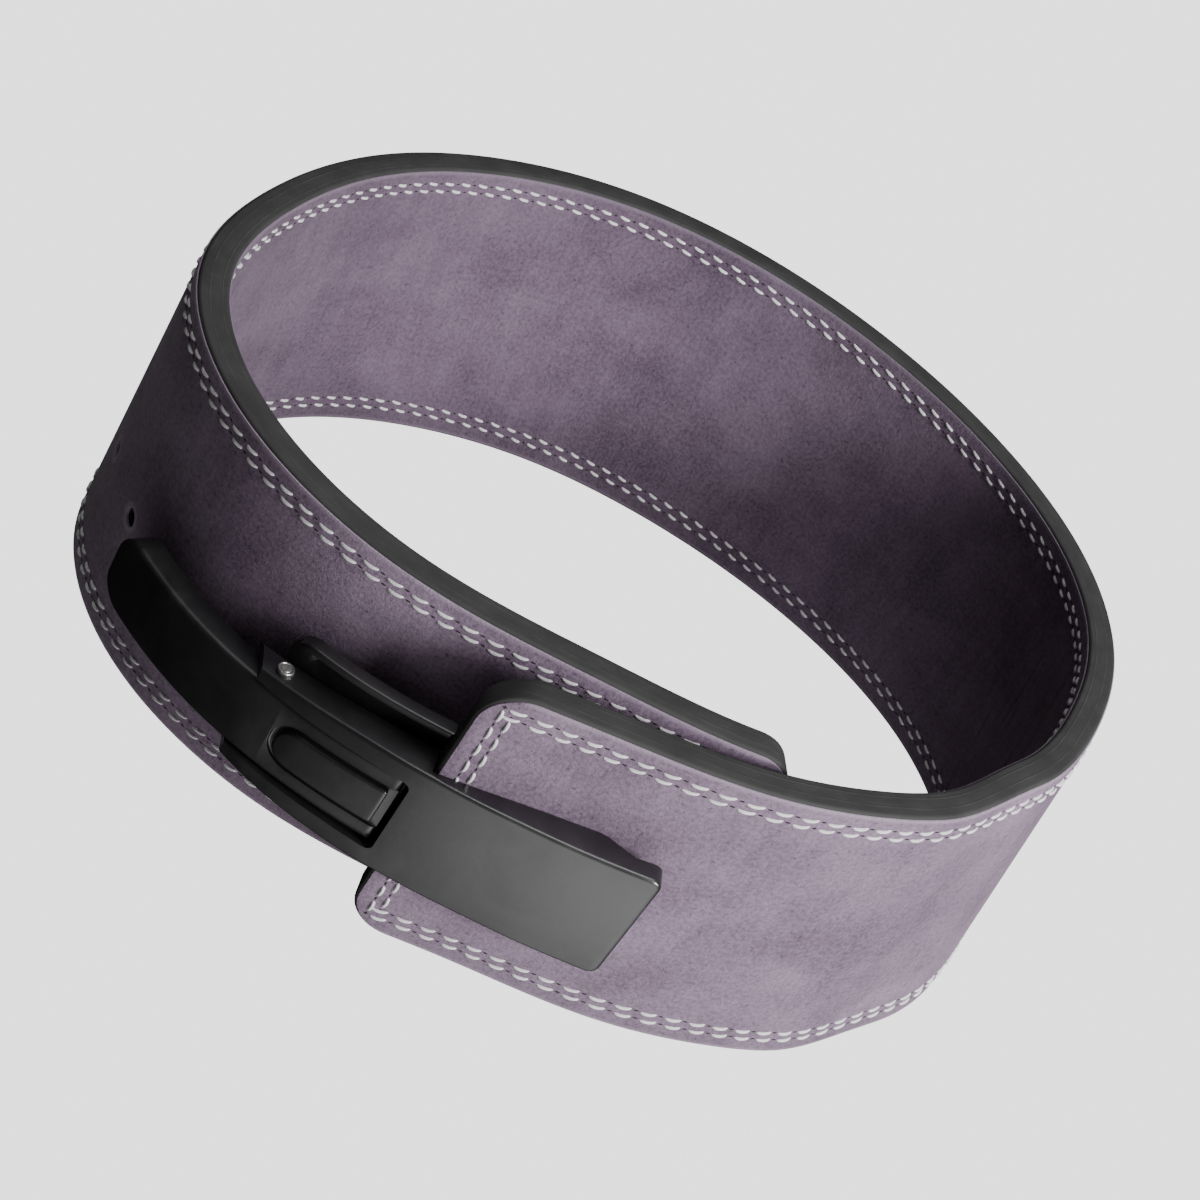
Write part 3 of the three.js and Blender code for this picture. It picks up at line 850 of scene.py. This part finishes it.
@dataclass
class Strap:
    """The strap: a painted body, a suede skin on each face, holes, and two rows of stitches all round."""

    path: BeltPath
    core_half: float = 3.3
    corner: float = 13.0
    rim_round: float = 1.1
    paint_half: float = 4.7
    skin_inset: float = 0.9
    skin_sunk: float = 0.5
    step: float = 3.5
    rows_across: int = 6
    holes: HoleRow = HoleRow()
    stitch_rows: tuple[StitchRow, ...] = (StitchRow(5.4, 6.4, 5.2), StitchRow(8.2, 9.5, 8.0))
    stitch_pitch: float = 7.1
    stitch_slant: float = 7.0
    thread_radius: float = 0.52
    outer_stitch: StitchForm = StitchForm(0.74, 0.38)
    inner_stitch: StitchForm = StitchForm(0.64, 0.1)

    def bend(self, flat: Vector) -> Vector:
        """Bend a flat place, whose height counts from the strap's middle, onto the belt."""
        return self.path.place(flat.x, flat.y, self.path.layer_out(flat.x) + flat.z)

    def slab(self, inset: float, low: float, high: float, rounding: float, steps: int) -> bmesh.types.BMesh:
        """A flat strap with round corners and round rims.

        Args:
            inset: how far its outline lies inside the strap's.
            low: its inner face.
            high: its outer face.
            rounding: the rounding of its rims.
            steps: the facets of that rounding.

        Returns:
            The flat mesh.
        """
        start = inset
        finish = self.path.strap - inset
        bm = box_bmesh((start, inset, low), (finish, self.path.strap_width - inset, high))
        bevel_where(bm, self.corner - inset, 12, upright_at(start))
        bevel_where(bm, self.corner - inset, 12, upright_at(finish))
        bevel_where(bm, rounding, steps, level_at(low))
        bevel_where(bm, rounding, steps, level_at(high))
        return bm

    def punch(self, bm: bmesh.types.BMesh, diameter: float) -> bmesh.types.BMesh:
        """Punch the row of adjustment holes."""
        tool = bmesh.new()
        for k in range(self.holes.count):
            along = self.holes.first + k * self.holes.pitch
            spot = Matrix.Translation((along, self.holes.below, 0.0))
            bmesh.ops.create_cone(
                tool, cap_ends=True, segments=32, radius1=diameter / 2, radius2=diameter / 2,
                depth=3 * self.path.strap_thick, matrix=spot,
            )
        return combine(bm, tool, "DIFFERENCE")

    def prepare(self, bm: bmesh.types.BMesh) -> bmesh.types.BMesh:
        """Slice a flat layer and bend it."""
        slice_mesh(bm, 0, 0.0, self.path.strap, self.step)
        slice_mesh(bm, 1, 0.0, self.path.strap_width, self.path.strap_width / self.rows_across)
        bend_mesh(bm, self.bend)
        return bm

    def build_body(self, finishes: Finishes) -> None:
        """The body under the suede, whose painted rim shows."""
        bm = self.slab(0.0, -self.paint_half, self.paint_half, self.rim_round, 4)
        bm = self.punch(bm, self.holes.diameter)
        finish_piece(self.prepare(bm), "strap_body", finishes.edge, "edge_paint", ["strap_core"])

    def build_skin(self, side: Side, finishes: Finishes) -> None:
        """One suede skin, set a little way in from the rim."""
        face = self.path.strap_thick / 2
        sunk = self.paint_half - self.skin_sunk
        low, high = sorted((side.value * sunk, side.value * face))
        bm = self.slab(self.skin_inset, low, high, 0.3, 2)
        bm = self.punch(bm, self.holes.diameter - 0.6)
        outer = side is Side.OUTER
        finish_piece(
            self.prepare(bm),
            "suede_outside" if outer else "suede_inside",
            finishes.outer_suede if outer else finishes.inner_suede,
            "suede",
            ["outer_suede" if outer else "inner_suede"],
        )

    def seams(self, row: StitchRow) -> list[tuple[Vector, Vector]]:
        """The four straight seams of one row, each from corner to corner."""
        corners = (
            Vector((row.ends, row.top)),
            Vector((self.path.strap - row.ends, row.top)),
            Vector((self.path.strap - row.ends, self.path.strap_width - row.bottom)),
            Vector((row.ends, self.path.strap_width - row.bottom)),
        )
        return [(corners[a], corners[b]) for a, b in ((0, 1), (3, 2), (0, 3), (1, 2))]

    def stitch_template(self, length: float, bow: float) -> bpy.types.Mesh:
        """One stitch along X: a thread that rises from one hole and dives into the next.

        Args:
            length: its length.
            bow: how far its middle sags to one side.

        Returns:
            Its mesh.
        """
        bm = bmesh.new()
        turn = Matrix.Rotation(math.pi / 2, 4, "Y")
        bmesh.ops.create_cone(
            bm, cap_ends=True, segments=6, radius1=self.thread_radius, radius2=self.thread_radius,
            depth=length, matrix=turn,
        )
        slice_mesh(bm, 0, -length / 2, length / 2, length / 6)
        for vert in bm.verts:
            share = clamp(2 * vert.co.x / length, -1.0, 1.0)
            full = 1 - share * share
            slim = 0.45 + 0.55 * math.sqrt(max(full, 0.0))
            vert.co.y = vert.co.y * slim + bow * full
            vert.co.z = vert.co.z * slim - 0.5 + 0.66 * full ** 0.5
        mesh = bpy.data.meshes.new("stitch_template")
        bm.to_mesh(mesh)
        bm.free()
        return mesh

    def hole_shade_template(self) -> bpy.types.Mesh:
        """One needle hole's painted shade, a narrow dark oval."""
        bm = bmesh.new()
        bmesh.ops.create_cone(bm, cap_ends=True, segments=8, radius1=0.3, radius2=0.3, depth=0.4)
        bmesh.ops.scale(bm, vec=(2.4, 0.9, 1.0), verts=bm.verts)
        mesh = bpy.data.meshes.new("hole_shade_template")
        bm.to_mesh(mesh)
        bm.free()
        return mesh

    def build_stitches(self, side: Side, finishes: Finishes) -> None:
        """Two staggered rows of slanted stitches round one face, and dark ovals of painted shade for the
        needle holes between them.

        Args:
            side: the face that they are sewn on.
            finishes: the belt's finishes.
        """
        outer = side is Side.OUTER
        face = side.value * self.path.strap_thick / 2
        form = self.outer_stitch if outer else self.inner_stitch
        stitch = self.stitch_template(self.stitch_pitch * form.share, form.bow)
        # The needle holes are not cut; each is a dark oval of painted shade.
        hole_shade = self.hole_shade_template()
        threads = bmesh.new()
        hole_shades = bmesh.new()
        flip = Matrix.Scale(side.value, 4, Vector((0, 0, 1)))
        for number, row in enumerate(self.stitch_rows):
            for start, finish in self.seams(row):
                run = finish - start
                heading = math.atan2(run.y, run.x)
                level = abs(run.x) > abs(run.y)
                count = round(run.length / self.stitch_pitch)
                first_share = 0.5 if level and number else 0.0
                for k in range(count + 1):
                    sway = math.radians(1.6 * math.sin(2.3 * k + 5 * number))
                    slant = math.radians(self.stitch_slant) if level else 0.0
                    for target, mesh, phase, turn, lift in (
                        (threads, stitch, 0.5, heading + slant + sway, 0.0),
                        (hole_shades, hole_shade, 0.0, heading, -0.17),
                    ):
                        share = (k + phase + first_share) / count
                        if not 0.0 <= share <= 1.0:
                            continue
                        spot = start.lerp(finish, share)
                        lies = Matrix.Translation((spot.x, spot.y, face))
                        turned = Matrix.Rotation(turn, 4, "Z")
                        lifted = Matrix.Translation((0, 0, lift))
                        first = len(target.verts)
                        target.from_mesh(mesh)
                        target.verts.ensure_lookup_table()
                        bmesh.ops.transform(
                            target, matrix=lies @ turned @ flip @ lifted, verts=target.verts[first:],
                        )
        word = "outside" if outer else "inside"
        for bm, name, material, slot in (
            (threads, f"stitches_{word}", finishes.thread, "thread"),
            (hole_shades, f"needle_holes_{word}", finishes.hole_shade, "suede"),
        ):
            bend_mesh(bm, self.bend)
            finish_piece(bm, name, material, slot, sharp=70.0)
        bpy.data.meshes.remove(stitch)
        bpy.data.meshes.remove(hole_shade)

    def build(self, finishes: Finishes) -> None:
        """The whole strap."""
        self.build_body(finishes)
        for side in Side:
            self.build_skin(side, finishes)
            self.build_stitches(side, finishes)


@dataclass
class Buckle:
    """The lever buckle: base plate, lever, hook plate, hinge rivets, link pin and mounting screws.

    A place on it is (x, y, height): the distance past the outer end, the distance below the
    buckle's middle line, and the height above the inner strap's outer face.
    """

    path: BeltPath
    strap: Strap
    middle: float = 56.0
    tilt: float = 3.3
    bow: float = 2.4
    plate: float = 2.2
    step: float = 2.5
    handle: float = 63.0
    arms: float = 50.0
    lever_half: float = 20.3
    lever_tip_half: float = 16.4
    lever_corner: float = 3.0
    lever_round: float = 1.2
    handle_deep: float = 6.0
    arm_deep: float = 12.0
    slot_round: float = 2.2
    arm_bridge: float = 11.4
    arm_tip: float = 8.2
    arm_slant: float = 5.0
    finger_gap: float = 16.0
    finger_rise: float = 4.5
    slot_start: float = 3.0
    hook_reach: float = 97.0
    hook_half: float = 13.8
    hook_tip_half: float = 11.6
    hook_wall: float = 8.4
    hook_corner: float = 9.0
    hook_round: float = 2.0
    groove_finish: float = 36.4
    groove_half: float = 8.0
    groove_deep: float = 1.0
    groove_corner: float = 6.9
    tongue_start: float = 6.5
    tongue_finish: float = 35.0
    tongue_half: float = 6.6
    tongue_corner: float = 5.5
    tongue_rise: float = 0.9
    tongue_sunk: float = 1.65
    prong_holes: tuple[int, int] = (3, 4)
    prong_radius: float = 2.7
    prong_reach: float = 9.0
    collar_radius: float = 4.5
    collar_gap: float = 1.0
    base_length: float = 44.0
    base_upper: float = 28.0
    base_lower: float = 22.9
    base_tip_face: float = 5.8
    base_corner: float = 7.0
    mount_reach: float = 38.0
    mount_half: float = 17.0
    mount_join: float = 0.5
    mount_sunk: float = 0.01
    lip_thick: float = 2.0
    lip_rise: float = 2.6
    hinge_from_tip: float = 9.0
    rivet_head: float = 4.8
    rivet_proud: float = 0.8
    rivet_shaft: float = 1.2
    rivet_thick: float = 1.2
    hinge_below_face: float = 4.6
    lever_rows: tuple[FaceRow, ...] = (
        FaceRow(-1.0, 22.1), FaceRow(-0.54, 19.7), FaceRow(0.0, 13.2), FaceRow(0.4, 11.6), FaceRow(1.0, 9.1),
    )
    hook_rows: tuple[FaceRow, ...] = (
        FaceRow(0.04, 11.0), FaceRow(0.36, 9.7), FaceRow(0.5, 9.4), FaceRow(0.78, 7.4), FaceRow(1.0, 6.6),
    )

    def __post_init__(self) -> None:
        """Work out the two face curves."""
        lever_places = [
            row.share * (self.handle if row.share < 0 else self.arms) for row in self.lever_rows
        ]
        hook_places = [row.share * self.hook_reach for row in self.hook_rows]
        self.lever_face = HeightCurve(
            lever_places, [self.base_face(x) + row.over for x, row in zip(lever_places, self.lever_rows)],
        )
        self.hook_face = HeightCurve(
            hook_places, [self.base_face(x) + row.over for x, row in zip(hook_places, self.hook_rows)],
        )

    def strap_face(self, x: float) -> float:
        """The height of the outer strap's face."""
        return self.path.layer_out(self.path.strap + x)

    def base_face(self, x: float) -> float:
        """The height of the base plate's outer face."""
        under = self.strap_face(min(x, 0.0)) - self.path.strap_thick - self.path.clearance
        return blend(under, self.base_tip_face, clamp(x / self.base_length, 0.0, 1.0))

    def past_slot(self, x: float, finish: float) -> float:
        """How far x is from the slot's start to a finish, as a share."""
        return max(0.0, (x - self.slot_start) / (finish - self.slot_start))

    def lever_half_at(self, x: float) -> float:
        """Half the lever's width."""
        return blend(self.lever_half, self.lever_tip_half, self.past_slot(x, self.arms) ** 2)

    def hook_half_at(self, x: float) -> float:
        """Half the hook plate's width."""
        return blend(self.hook_half, self.hook_tip_half, self.past_slot(x, self.hook_reach))

    def place(self, x: float, y: float, height: float) -> Vector:
        """A place of the buckle, in metres in the model's frame."""
        bow = self.bow * math.sin(math.pi * clamp(x / self.hook_reach, 0.0, 1.0))
        below = self.middle + x * math.tan(math.radians(self.tilt)) + bow + y
        return self.path.place(self.path.overlap + x, below, self.path.strap_thick / 2 + height)

    def lever_foot(self, x: float) -> float:
        """The height of the lever's lowest edge."""
        if x <= 2 * self.path.clearance + NEAR:
            rise = clamp(2 * (1 - (x + self.handle) / self.finger_gap), 0.0, 1.0)
            foot = self.strap_face(min(x, 0.0)) + self.path.clearance + self.finger_rise * rise
            return min(foot, self.lever_face(x) - self.plate)
        depth = blend(self.arm_bridge, self.arm_tip, self.past_slot(x, self.arms))
        return self.lever_face(x) - depth

    def bend_lever(self, flat: Vector) -> Vector:
        """Bend a flat place of the lever, whose depth counts down from its face."""
        inside = self.hook_half + self.path.clearance
        inside_here = self.hook_half_at(flat.x) + self.path.clearance
        half_here = self.lever_half_at(flat.x)
        across = abs(flat.y)
        if flat.x > self.slot_start - 0.5:
            if across <= inside:
                y = across * inside_here / inside
            else:
                y = blend(inside_here, half_here, (across - inside) / (self.lever_half - inside))
        else:
            y = across * half_here / self.lever_half
        face = self.lever_face(flat.x)
        if flat.z >= -self.plate:
            height = face + flat.z
        else:
            wall = self.handle_deep if flat.x <= 2 * self.path.clearance + NEAR else self.arm_deep
            share = clamp((-flat.z - self.plate) / (wall - self.plate), 0.0, 1.0)
            height = blend(face - self.plate, self.lever_foot(flat.x), share)
            if flat.z < -self.handle_deep - 10 * NEAR and wall < self.arm_deep:
                deep = (-flat.z - self.handle_deep) / (self.arm_deep - self.handle_deep)
                height = blend(self.lever_foot(flat.x), self.lever_foot(self.slot_start), deep)
        return self.place(flat.x, math.copysign(y, flat.y), height)

    def slot_cutter(self, inside: float, deep: float) -> bmesh.types.BMesh:
        """What the slot between the arms takes away."""
        cutter = box_bmesh(
            (self.slot_start, -inside, -deep - OVERCUT), (self.arms + OVERCUT, inside, OVERCUT),
        )
        bevel_where(cutter, self.slot_round, 6, upright_at(self.slot_start))
        return cutter

    def end_cutter(self, deep: float) -> bmesh.types.BMesh:
        """What the slanted cut across the arms' ends takes away."""
        cutter = box_bmesh((0.0, -2 * self.lever_half, -2 * deep), (2 * deep, 2 * self.lever_half, deep))
        turn = Matrix.Rotation(-math.atan2(self.arm_slant, deep), 4, "Y")
        place = Matrix.Translation((self.arms - self.arm_slant, 0.0, 0.0))
        bmesh.ops.transform(cutter, matrix=place @ turn, verts=cutter.verts)
        return cutter

    def build_lever(self, finishes: Finishes) -> None:
        """The lever: a channel that covers the outer end, and two arms that hold the hook plate."""
        deep = self.arm_deep
        bm = box_bmesh((-self.handle, -self.lever_half, -deep), (self.arms, self.lever_half, 0.0))
        bevel_where(bm, self.lever_corner, 5, upright_at(-self.handle))
        bevel_where(bm, self.lever_round, 4, level_at(0.0))
        strap_end = 2 * self.path.clearance
        inside = self.hook_half + self.path.clearance
        wall_inside = self.lever_half - self.plate
        cutters = [
            box_bmesh(
                (-self.handle - OVERCUT, -self.lever_half - OVERCUT, -deep - OVERCUT),
                (strap_end, self.lever_half + OVERCUT, -self.handle_deep),
            ),
            box_bmesh(
                (-self.handle - OVERCUT, -wall_inside, -deep - 2 * OVERCUT),
                (-self.plate, wall_inside, -self.plate),
            ),
            self.slot_cutter(inside, deep),
            self.end_cutter(deep),
        ]
        for cutter in cutters:
            bm = combine(bm, cutter, "DIFFERENCE")
        bm = soften(bm, 0.6, 3)
        slice_mesh(bm, 0, -self.handle, self.arms, self.step)
        bend_mesh(bm, self.bend_lever)
        finish_piece(bm, "lever_plate", finishes.coated, "buckle_black", ["lever"], sharp=50.0)

    def bend_hook(self, flat: Vector) -> Vector:
        """Bend a flat place of the hook plate, whose depth counts down from its face."""
        y = flat.y * self.hook_half_at(flat.x) / self.hook_half
        return self.place(flat.x, y, self.hook_face(flat.x) + flat.z)

    def build_hook(self, finishes: Finishes) -> None:
        """The hook plate: a round-ended channel with a raised tongue in a groove, and two prongs."""
        start = self.slot_start + 4 * self.path.clearance
        half = self.hook_half
        bm = box_bmesh((start, -half, -self.hook_wall), (self.hook_reach, half, 0.0))
        bevel_where(bm, self.hook_corner, 10, upright_at(self.hook_reach))
        bevel_where(bm, self.hook_round, 5, level_at(0.0))
        hollow_end = self.hook_reach - self.plate
        hollow = box_bmesh(
            (start - OVERCUT, -half + self.plate, -self.hook_wall - OVERCUT),
            (hollow_end, half - self.plate, -self.plate),
        )
        bevel_where(hollow, self.hook_corner - self.plate, 8, upright_at(hollow_end))
        groove = box_bmesh(
            (start - OVERCUT, -self.groove_half, -self.groove_deep),
            (self.groove_finish, self.groove_half, OVERCUT),
        )
        bevel_where(groove, self.groove_corner, 10, upright_at(self.groove_finish))
        bevel_where(groove, 0.55, 3, level_at(-self.groove_deep))
        tongue = box_bmesh(
            (self.tongue_start, -self.tongue_half, -self.tongue_sunk),
            (self.tongue_finish, self.tongue_half, self.tongue_rise),
        )
        bevel_where(tongue, self.tongue_corner, 10, upright_at(self.tongue_finish))
        bevel_where(tongue, 1.2, 3, upright_at(self.tongue_start))
        bevel_where(tongue, 0.9, 4, level_at(self.tongue_rise))
        bm = combine(bm, hollow, "DIFFERENCE")
        bm = combine(bm, groove, "DIFFERENCE")
        bm = combine(bm, tongue, "UNION")
        bm = soften(bm, 0.35, 2)
        slice_mesh(bm, 0, start, self.hook_reach, self.step)
        bend_mesh(bm, self.bend_hook)
        self.add_prongs(bm)
        finish_piece(bm, "hook_plate_shell", finishes.coated, "buckle_black", ["hook_plate"], sharp=50.0)

    def add_prongs(self, bm: bmesh.types.BMesh) -> None:
        """The two prongs that stand in holes of the inner end, each with a collar."""
        for index in self.prong_holes:
            along = self.strap.holes.first + index * self.strap.holes.pitch
            face = self.path.strap_thick / 2
            root = face + self.hook_face(along - self.path.overlap) - self.plate / 2
            parts = (
                (self.prong_radius, face - self.prong_reach),
                (self.collar_radius, face + self.collar_gap),
            )
            for radius, low in parts:
                rod = bmesh.new()
                bmesh.ops.create_cone(
                    rod, cap_ends=True, segments=28, radius1=radius, radius2=radius, depth=root - low,
                )
                bevel_where(rod, 0.6, 3, level_at(-(root - low) / 2))
                for vert in rod.verts:
                    vert.co = self.path.place(
                        along + vert.co.x, self.strap.holes.below + vert.co.y, (root + low) / 2 + vert.co.z,
                    )
                mesh = bpy.data.meshes.new("prong")
                rod.to_mesh(mesh)
                rod.free()
                bm.from_mesh(mesh)
                bpy.data.meshes.remove(mesh)

    def bend_base(self, flat: Vector) -> Vector:
        """Bend a flat place of the base plate, whose height counts from its outer face."""
        return self.place(flat.x, flat.y, self.base_face(flat.x) + flat.z)

    def build_base(self, finishes: Finishes) -> None:
        """The base plate: a shallow tray with two lips and a mounting tongue."""
        bm = box_bmesh(
            (0.0, -self.base_upper, -self.plate), (self.base_length, self.base_lower, self.lip_rise),
        )
        bevel_where(bm, self.base_corner, 8, upright_at(self.base_length))
        bevel_where(bm, 0.9, 4, level_at(self.lip_rise))
        tray = box_bmesh(
            (-OVERCUT, -self.base_upper + self.lip_thick, 0.0),
            (self.base_length + OVERCUT, self.base_lower - self.lip_thick, 2 * OVERCUT),
        )
        bm = combine(bm, tray, "DIFFERENCE")
        mount = box_bmesh(
            (-self.mount_reach, -self.mount_half, -self.plate),
            (self.mount_join, self.mount_half, -self.mount_sunk),
        )
        bm = combine(bm, mount, "UNION")
        bm = soften(bm, 0.4, 2)
        slice_mesh(bm, 0, -self.mount_reach, self.base_length, self.step)
        bend_mesh(bm, self.bend_base)
        finish_piece(bm, "base_plate_tray", finishes.coated, "buckle_black", ["base_plate"], sharp=50.0)

    def build_rivet(self, name: str, side: int, finishes: Finishes) -> None:
        """One hinge rivet: a shaft and a round head with a turned step.

        Args:
            name: the CAD node that it stands for.
            side: -1 for the upper arm, 1 for the lower one.
            finishes: the belt's finishes.
        """
        x = self.arms - self.hinge_from_tip
        height = self.lever_face(x) - self.hinge_below_face
        head = self.rivet_head / 2
        seat = self.lever_half_at(x - head) + self.path.clearance
        inner = self.hook_half_at(x) + self.path.clearance
        start = self.place(x, side * inner, height)
        finish = self.place(x, side * (seat + self.rivet_proud), height)
        total = (finish - start).length / MM
        shaft = self.rivet_shaft
        under = total - self.rivet_thick
        bm = bmesh.new()
        profile = (
            (0.0, 0.0), (shaft, 0.0), (shaft, under), (head - 0.1, under), (head, under + 0.2),
            (head, total - 0.25), (head - 0.2, total), (head - 0.5, total), (head - 0.65, total - 0.2),
            (head - 0.9, total - 0.2), (head - 1.05, total), (0.0, total),
        )
        verts = [bm.verts.new((r, 0.0, z)) for r, z in profile]
        edges = [bm.edges.new(pair) for pair in zip(verts, verts[1:])]
        bmesh.ops.spin(
            bm, geom=verts + edges, cent=(0, 0, 0), axis=(0, 0, 1), angle=2 * math.pi, steps=32,
            use_merge=True,
        )
        bmesh.ops.remove_doubles(bm, verts=bm.verts, dist=1e-4)
        turn = Vector((0, 0, 1)).rotation_difference(finish - start).to_matrix().to_4x4()
        bmesh.ops.transform(
            bm, matrix=Matrix.Translation(start) @ turn @ Matrix.Scale(MM, 4), verts=bm.verts,
        )
        finish_piece(bm, f"{name}_turned", finishes.steel, "pin_steel", [name], sharp=30.0)

    def dress_hidden(self, finishes: Finishes) -> None:
        """Give the CAD nodes that are kept their finish."""
        for node in ("link_pin", "mount_screw_upper", "mount_screw_lower"):
            for slot in bpy.data.objects[node].material_slots:
                slot.material = finishes.steel

    def build(self, finishes: Finishes) -> None:
        """The whole buckle."""
        self.build_base(finishes)
        self.build_lever(finishes)
        self.build_hook(finishes)
        self.build_rivet("hinge_rivet_upper", -1, finishes)
        self.build_rivet("hinge_rivet_lower", 1, finishes)
        self.dress_hidden(finishes)


@dataclass(frozen=True)
class Lobe:
    """A soft patch of light in the surroundings."""

    direction: tuple[float, float, float]
    sharpness: float
    strength: float


@dataclass
class Studio:
    """The plain pale backdrop, the soft surroundings, the key light and the camera."""

    elevation: float = 33.3
    roll: float = 33.2
    lens: float = 70.02
    eye: tuple[float, float, float] = (-13.2, -603.9, 449.6)
    shift: tuple[float, float] = (-2.2 / 1200, -30.6 / 1200)
    backdrop: float = 2.35
    dim: float = 0.008
    lobes: tuple[Lobe, ...] = (
        Lobe((0.56, -0.62, -0.55), 6.5, 2.0),
        Lobe((0.0, -0.95, 0.3), 14.0, 0.2),
        Lobe((0.1, 0.05, 1.0), 20.0, 4.6),
    )
    key_from: tuple[float, float, float] = (1.1, -0.62, 0.62)
    key_size: float = 0.5
    key_power: float = 25.0

    def build_camera(self, offset: Vector) -> None:
        """The camera at the photograph's place, which moves with the belt's own offset."""
        elevation = math.radians(self.elevation)
        roll = math.radians(self.roll)
        look = Vector((0, math.cos(elevation), -math.sin(elevation)))
        right = Vector((1, 0, 0))
        down = Vector((0, -math.sin(elevation), -math.cos(elevation)))
        x_axis = right * math.cos(roll) - down * math.sin(roll)
        y_axis = -(right * math.sin(roll) + down * math.cos(roll))
        data = bpy.data.cameras.new("camera")
        data.lens = self.lens
        data.sensor_width = 36.0
        data.shift_x, data.shift_y = self.shift
        data.clip_start = 0.05
        data.clip_end = 100.0
        camera = bpy.data.objects.new("camera", data)
        matrix = Matrix((x_axis, y_axis, -look)).transposed().to_4x4()
        matrix.translation = Vector(self.eye) * MM + offset
        camera.matrix_world = matrix
        bpy.context.scene.collection.objects.link(camera)
        bpy.context.scene.camera = camera

    def build_key(self) -> None:
        """The key light, a large soft square to the right and in front."""
        data = bpy.data.lights.new("key", "AREA")
        data.size = self.key_size
        data.energy = self.key_power
        light = bpy.data.objects.new("key", data)
        light.location = self.key_from
        aim = Vector((0, 0, 0.05)) - Vector(self.key_from)
        light.rotation_euler = aim.to_track_quat("-Z", "Y").to_euler()
        bpy.context.scene.collection.objects.link(light)

    def build_surroundings(self) -> None:
        """Dim surroundings with a few soft bright patches."""
        world = bpy.data.worlds.new("surroundings")
        world.use_nodes = True
        tree = world.node_tree
        background = tree.nodes["Background"]
        background.inputs["Color"].default_value = (1.0, 1.0, 1.0, 1.0)
        ray = tree.nodes.new("ShaderNodeTexCoord").outputs["Generated"]
        total = None
        for lobe in self.lobes:
            facing = tree.nodes.new("ShaderNodeVectorMath")
            facing.operation = "DOT_PRODUCT"
            facing.inputs[1].default_value = Vector(lobe.direction).normalized()
            tree.links.new(ray, facing.inputs[0])
            value = facing.outputs["Value"]
            for operation, amount in (
                ("MAXIMUM", 0.0), ("POWER", lobe.sharpness), ("MULTIPLY", lobe.strength),
            ):
                step = tree.nodes.new("ShaderNodeMath")
                step.operation = operation
                tree.links.new(value, step.inputs[0])
                step.inputs[1].default_value = amount
                value = step.outputs[0]
            added = tree.nodes.new("ShaderNodeMath")
            added.operation = "ADD"
            tree.links.new(value, added.inputs[0])
            added.inputs[1].default_value = self.dim
            if total is not None:
                tree.links.new(total, added.inputs[1])
            total = added.outputs[0]
        tree.links.new(total, background.inputs["Strength"])
        bpy.context.scene.world = world

    def build_backdrop(self) -> None:
        """A plain pale ground that only the camera sees, as on a cut-out product picture."""
        bm = bmesh.new()
        bmesh.ops.create_grid(bm, x_segments=1, y_segments=1, size=20.0)
        ground = plain_object(bm, "backdrop")
        sheet = NodeSheet("pale_backdrop")
        glow = sheet.add("ShaderNodeEmission")
        glow.inputs["Strength"].default_value = self.backdrop
        grain = sheet.noise(sheet.object_place(), (2500.0, 2500.0, 2500.0), detail=2.0)
        sheet.link(sheet.mix(grain, (0.94, 0.94, 0.94), (1.0, 1.0, 1.0)), glow.inputs["Color"])
        output = sheet.tree.nodes["Material Output"]
        sheet.link(glow.outputs[0], output.inputs["Surface"])
        ground.data.materials.append(sheet.material)
        ground.location.z = -0.002
        ground.visible_diffuse = False
        ground.visible_glossy = False
        ground.visible_transmission = False
        ground.visible_shadow = False

    def build(self, offset: Vector) -> None:
        """The whole studio."""
        self.build_backdrop()
        self.build_surroundings()
        self.build_key()
        self.build_camera(offset)


def main() -> None:
    """Build the belt and its studio, piece by piece."""
    logging.basicConfig(level=logging.INFO, format="%(name)s: %(message)s")
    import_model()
    path = BeltPath()
    strap = Strap(path)
    path.align("strap_core", strap.core_half, strap.corner)
    LOG.info("the belt lies %.2f, %.2f mm off its loop's centre", path.shift.x / MM, path.shift.y / MM)
    finishes = Finishes()
    strap.build(finishes)
    Buckle(path, strap).build(finishes)
    Studio().build(path.shift)


if __name__ == "__main__":
    main()
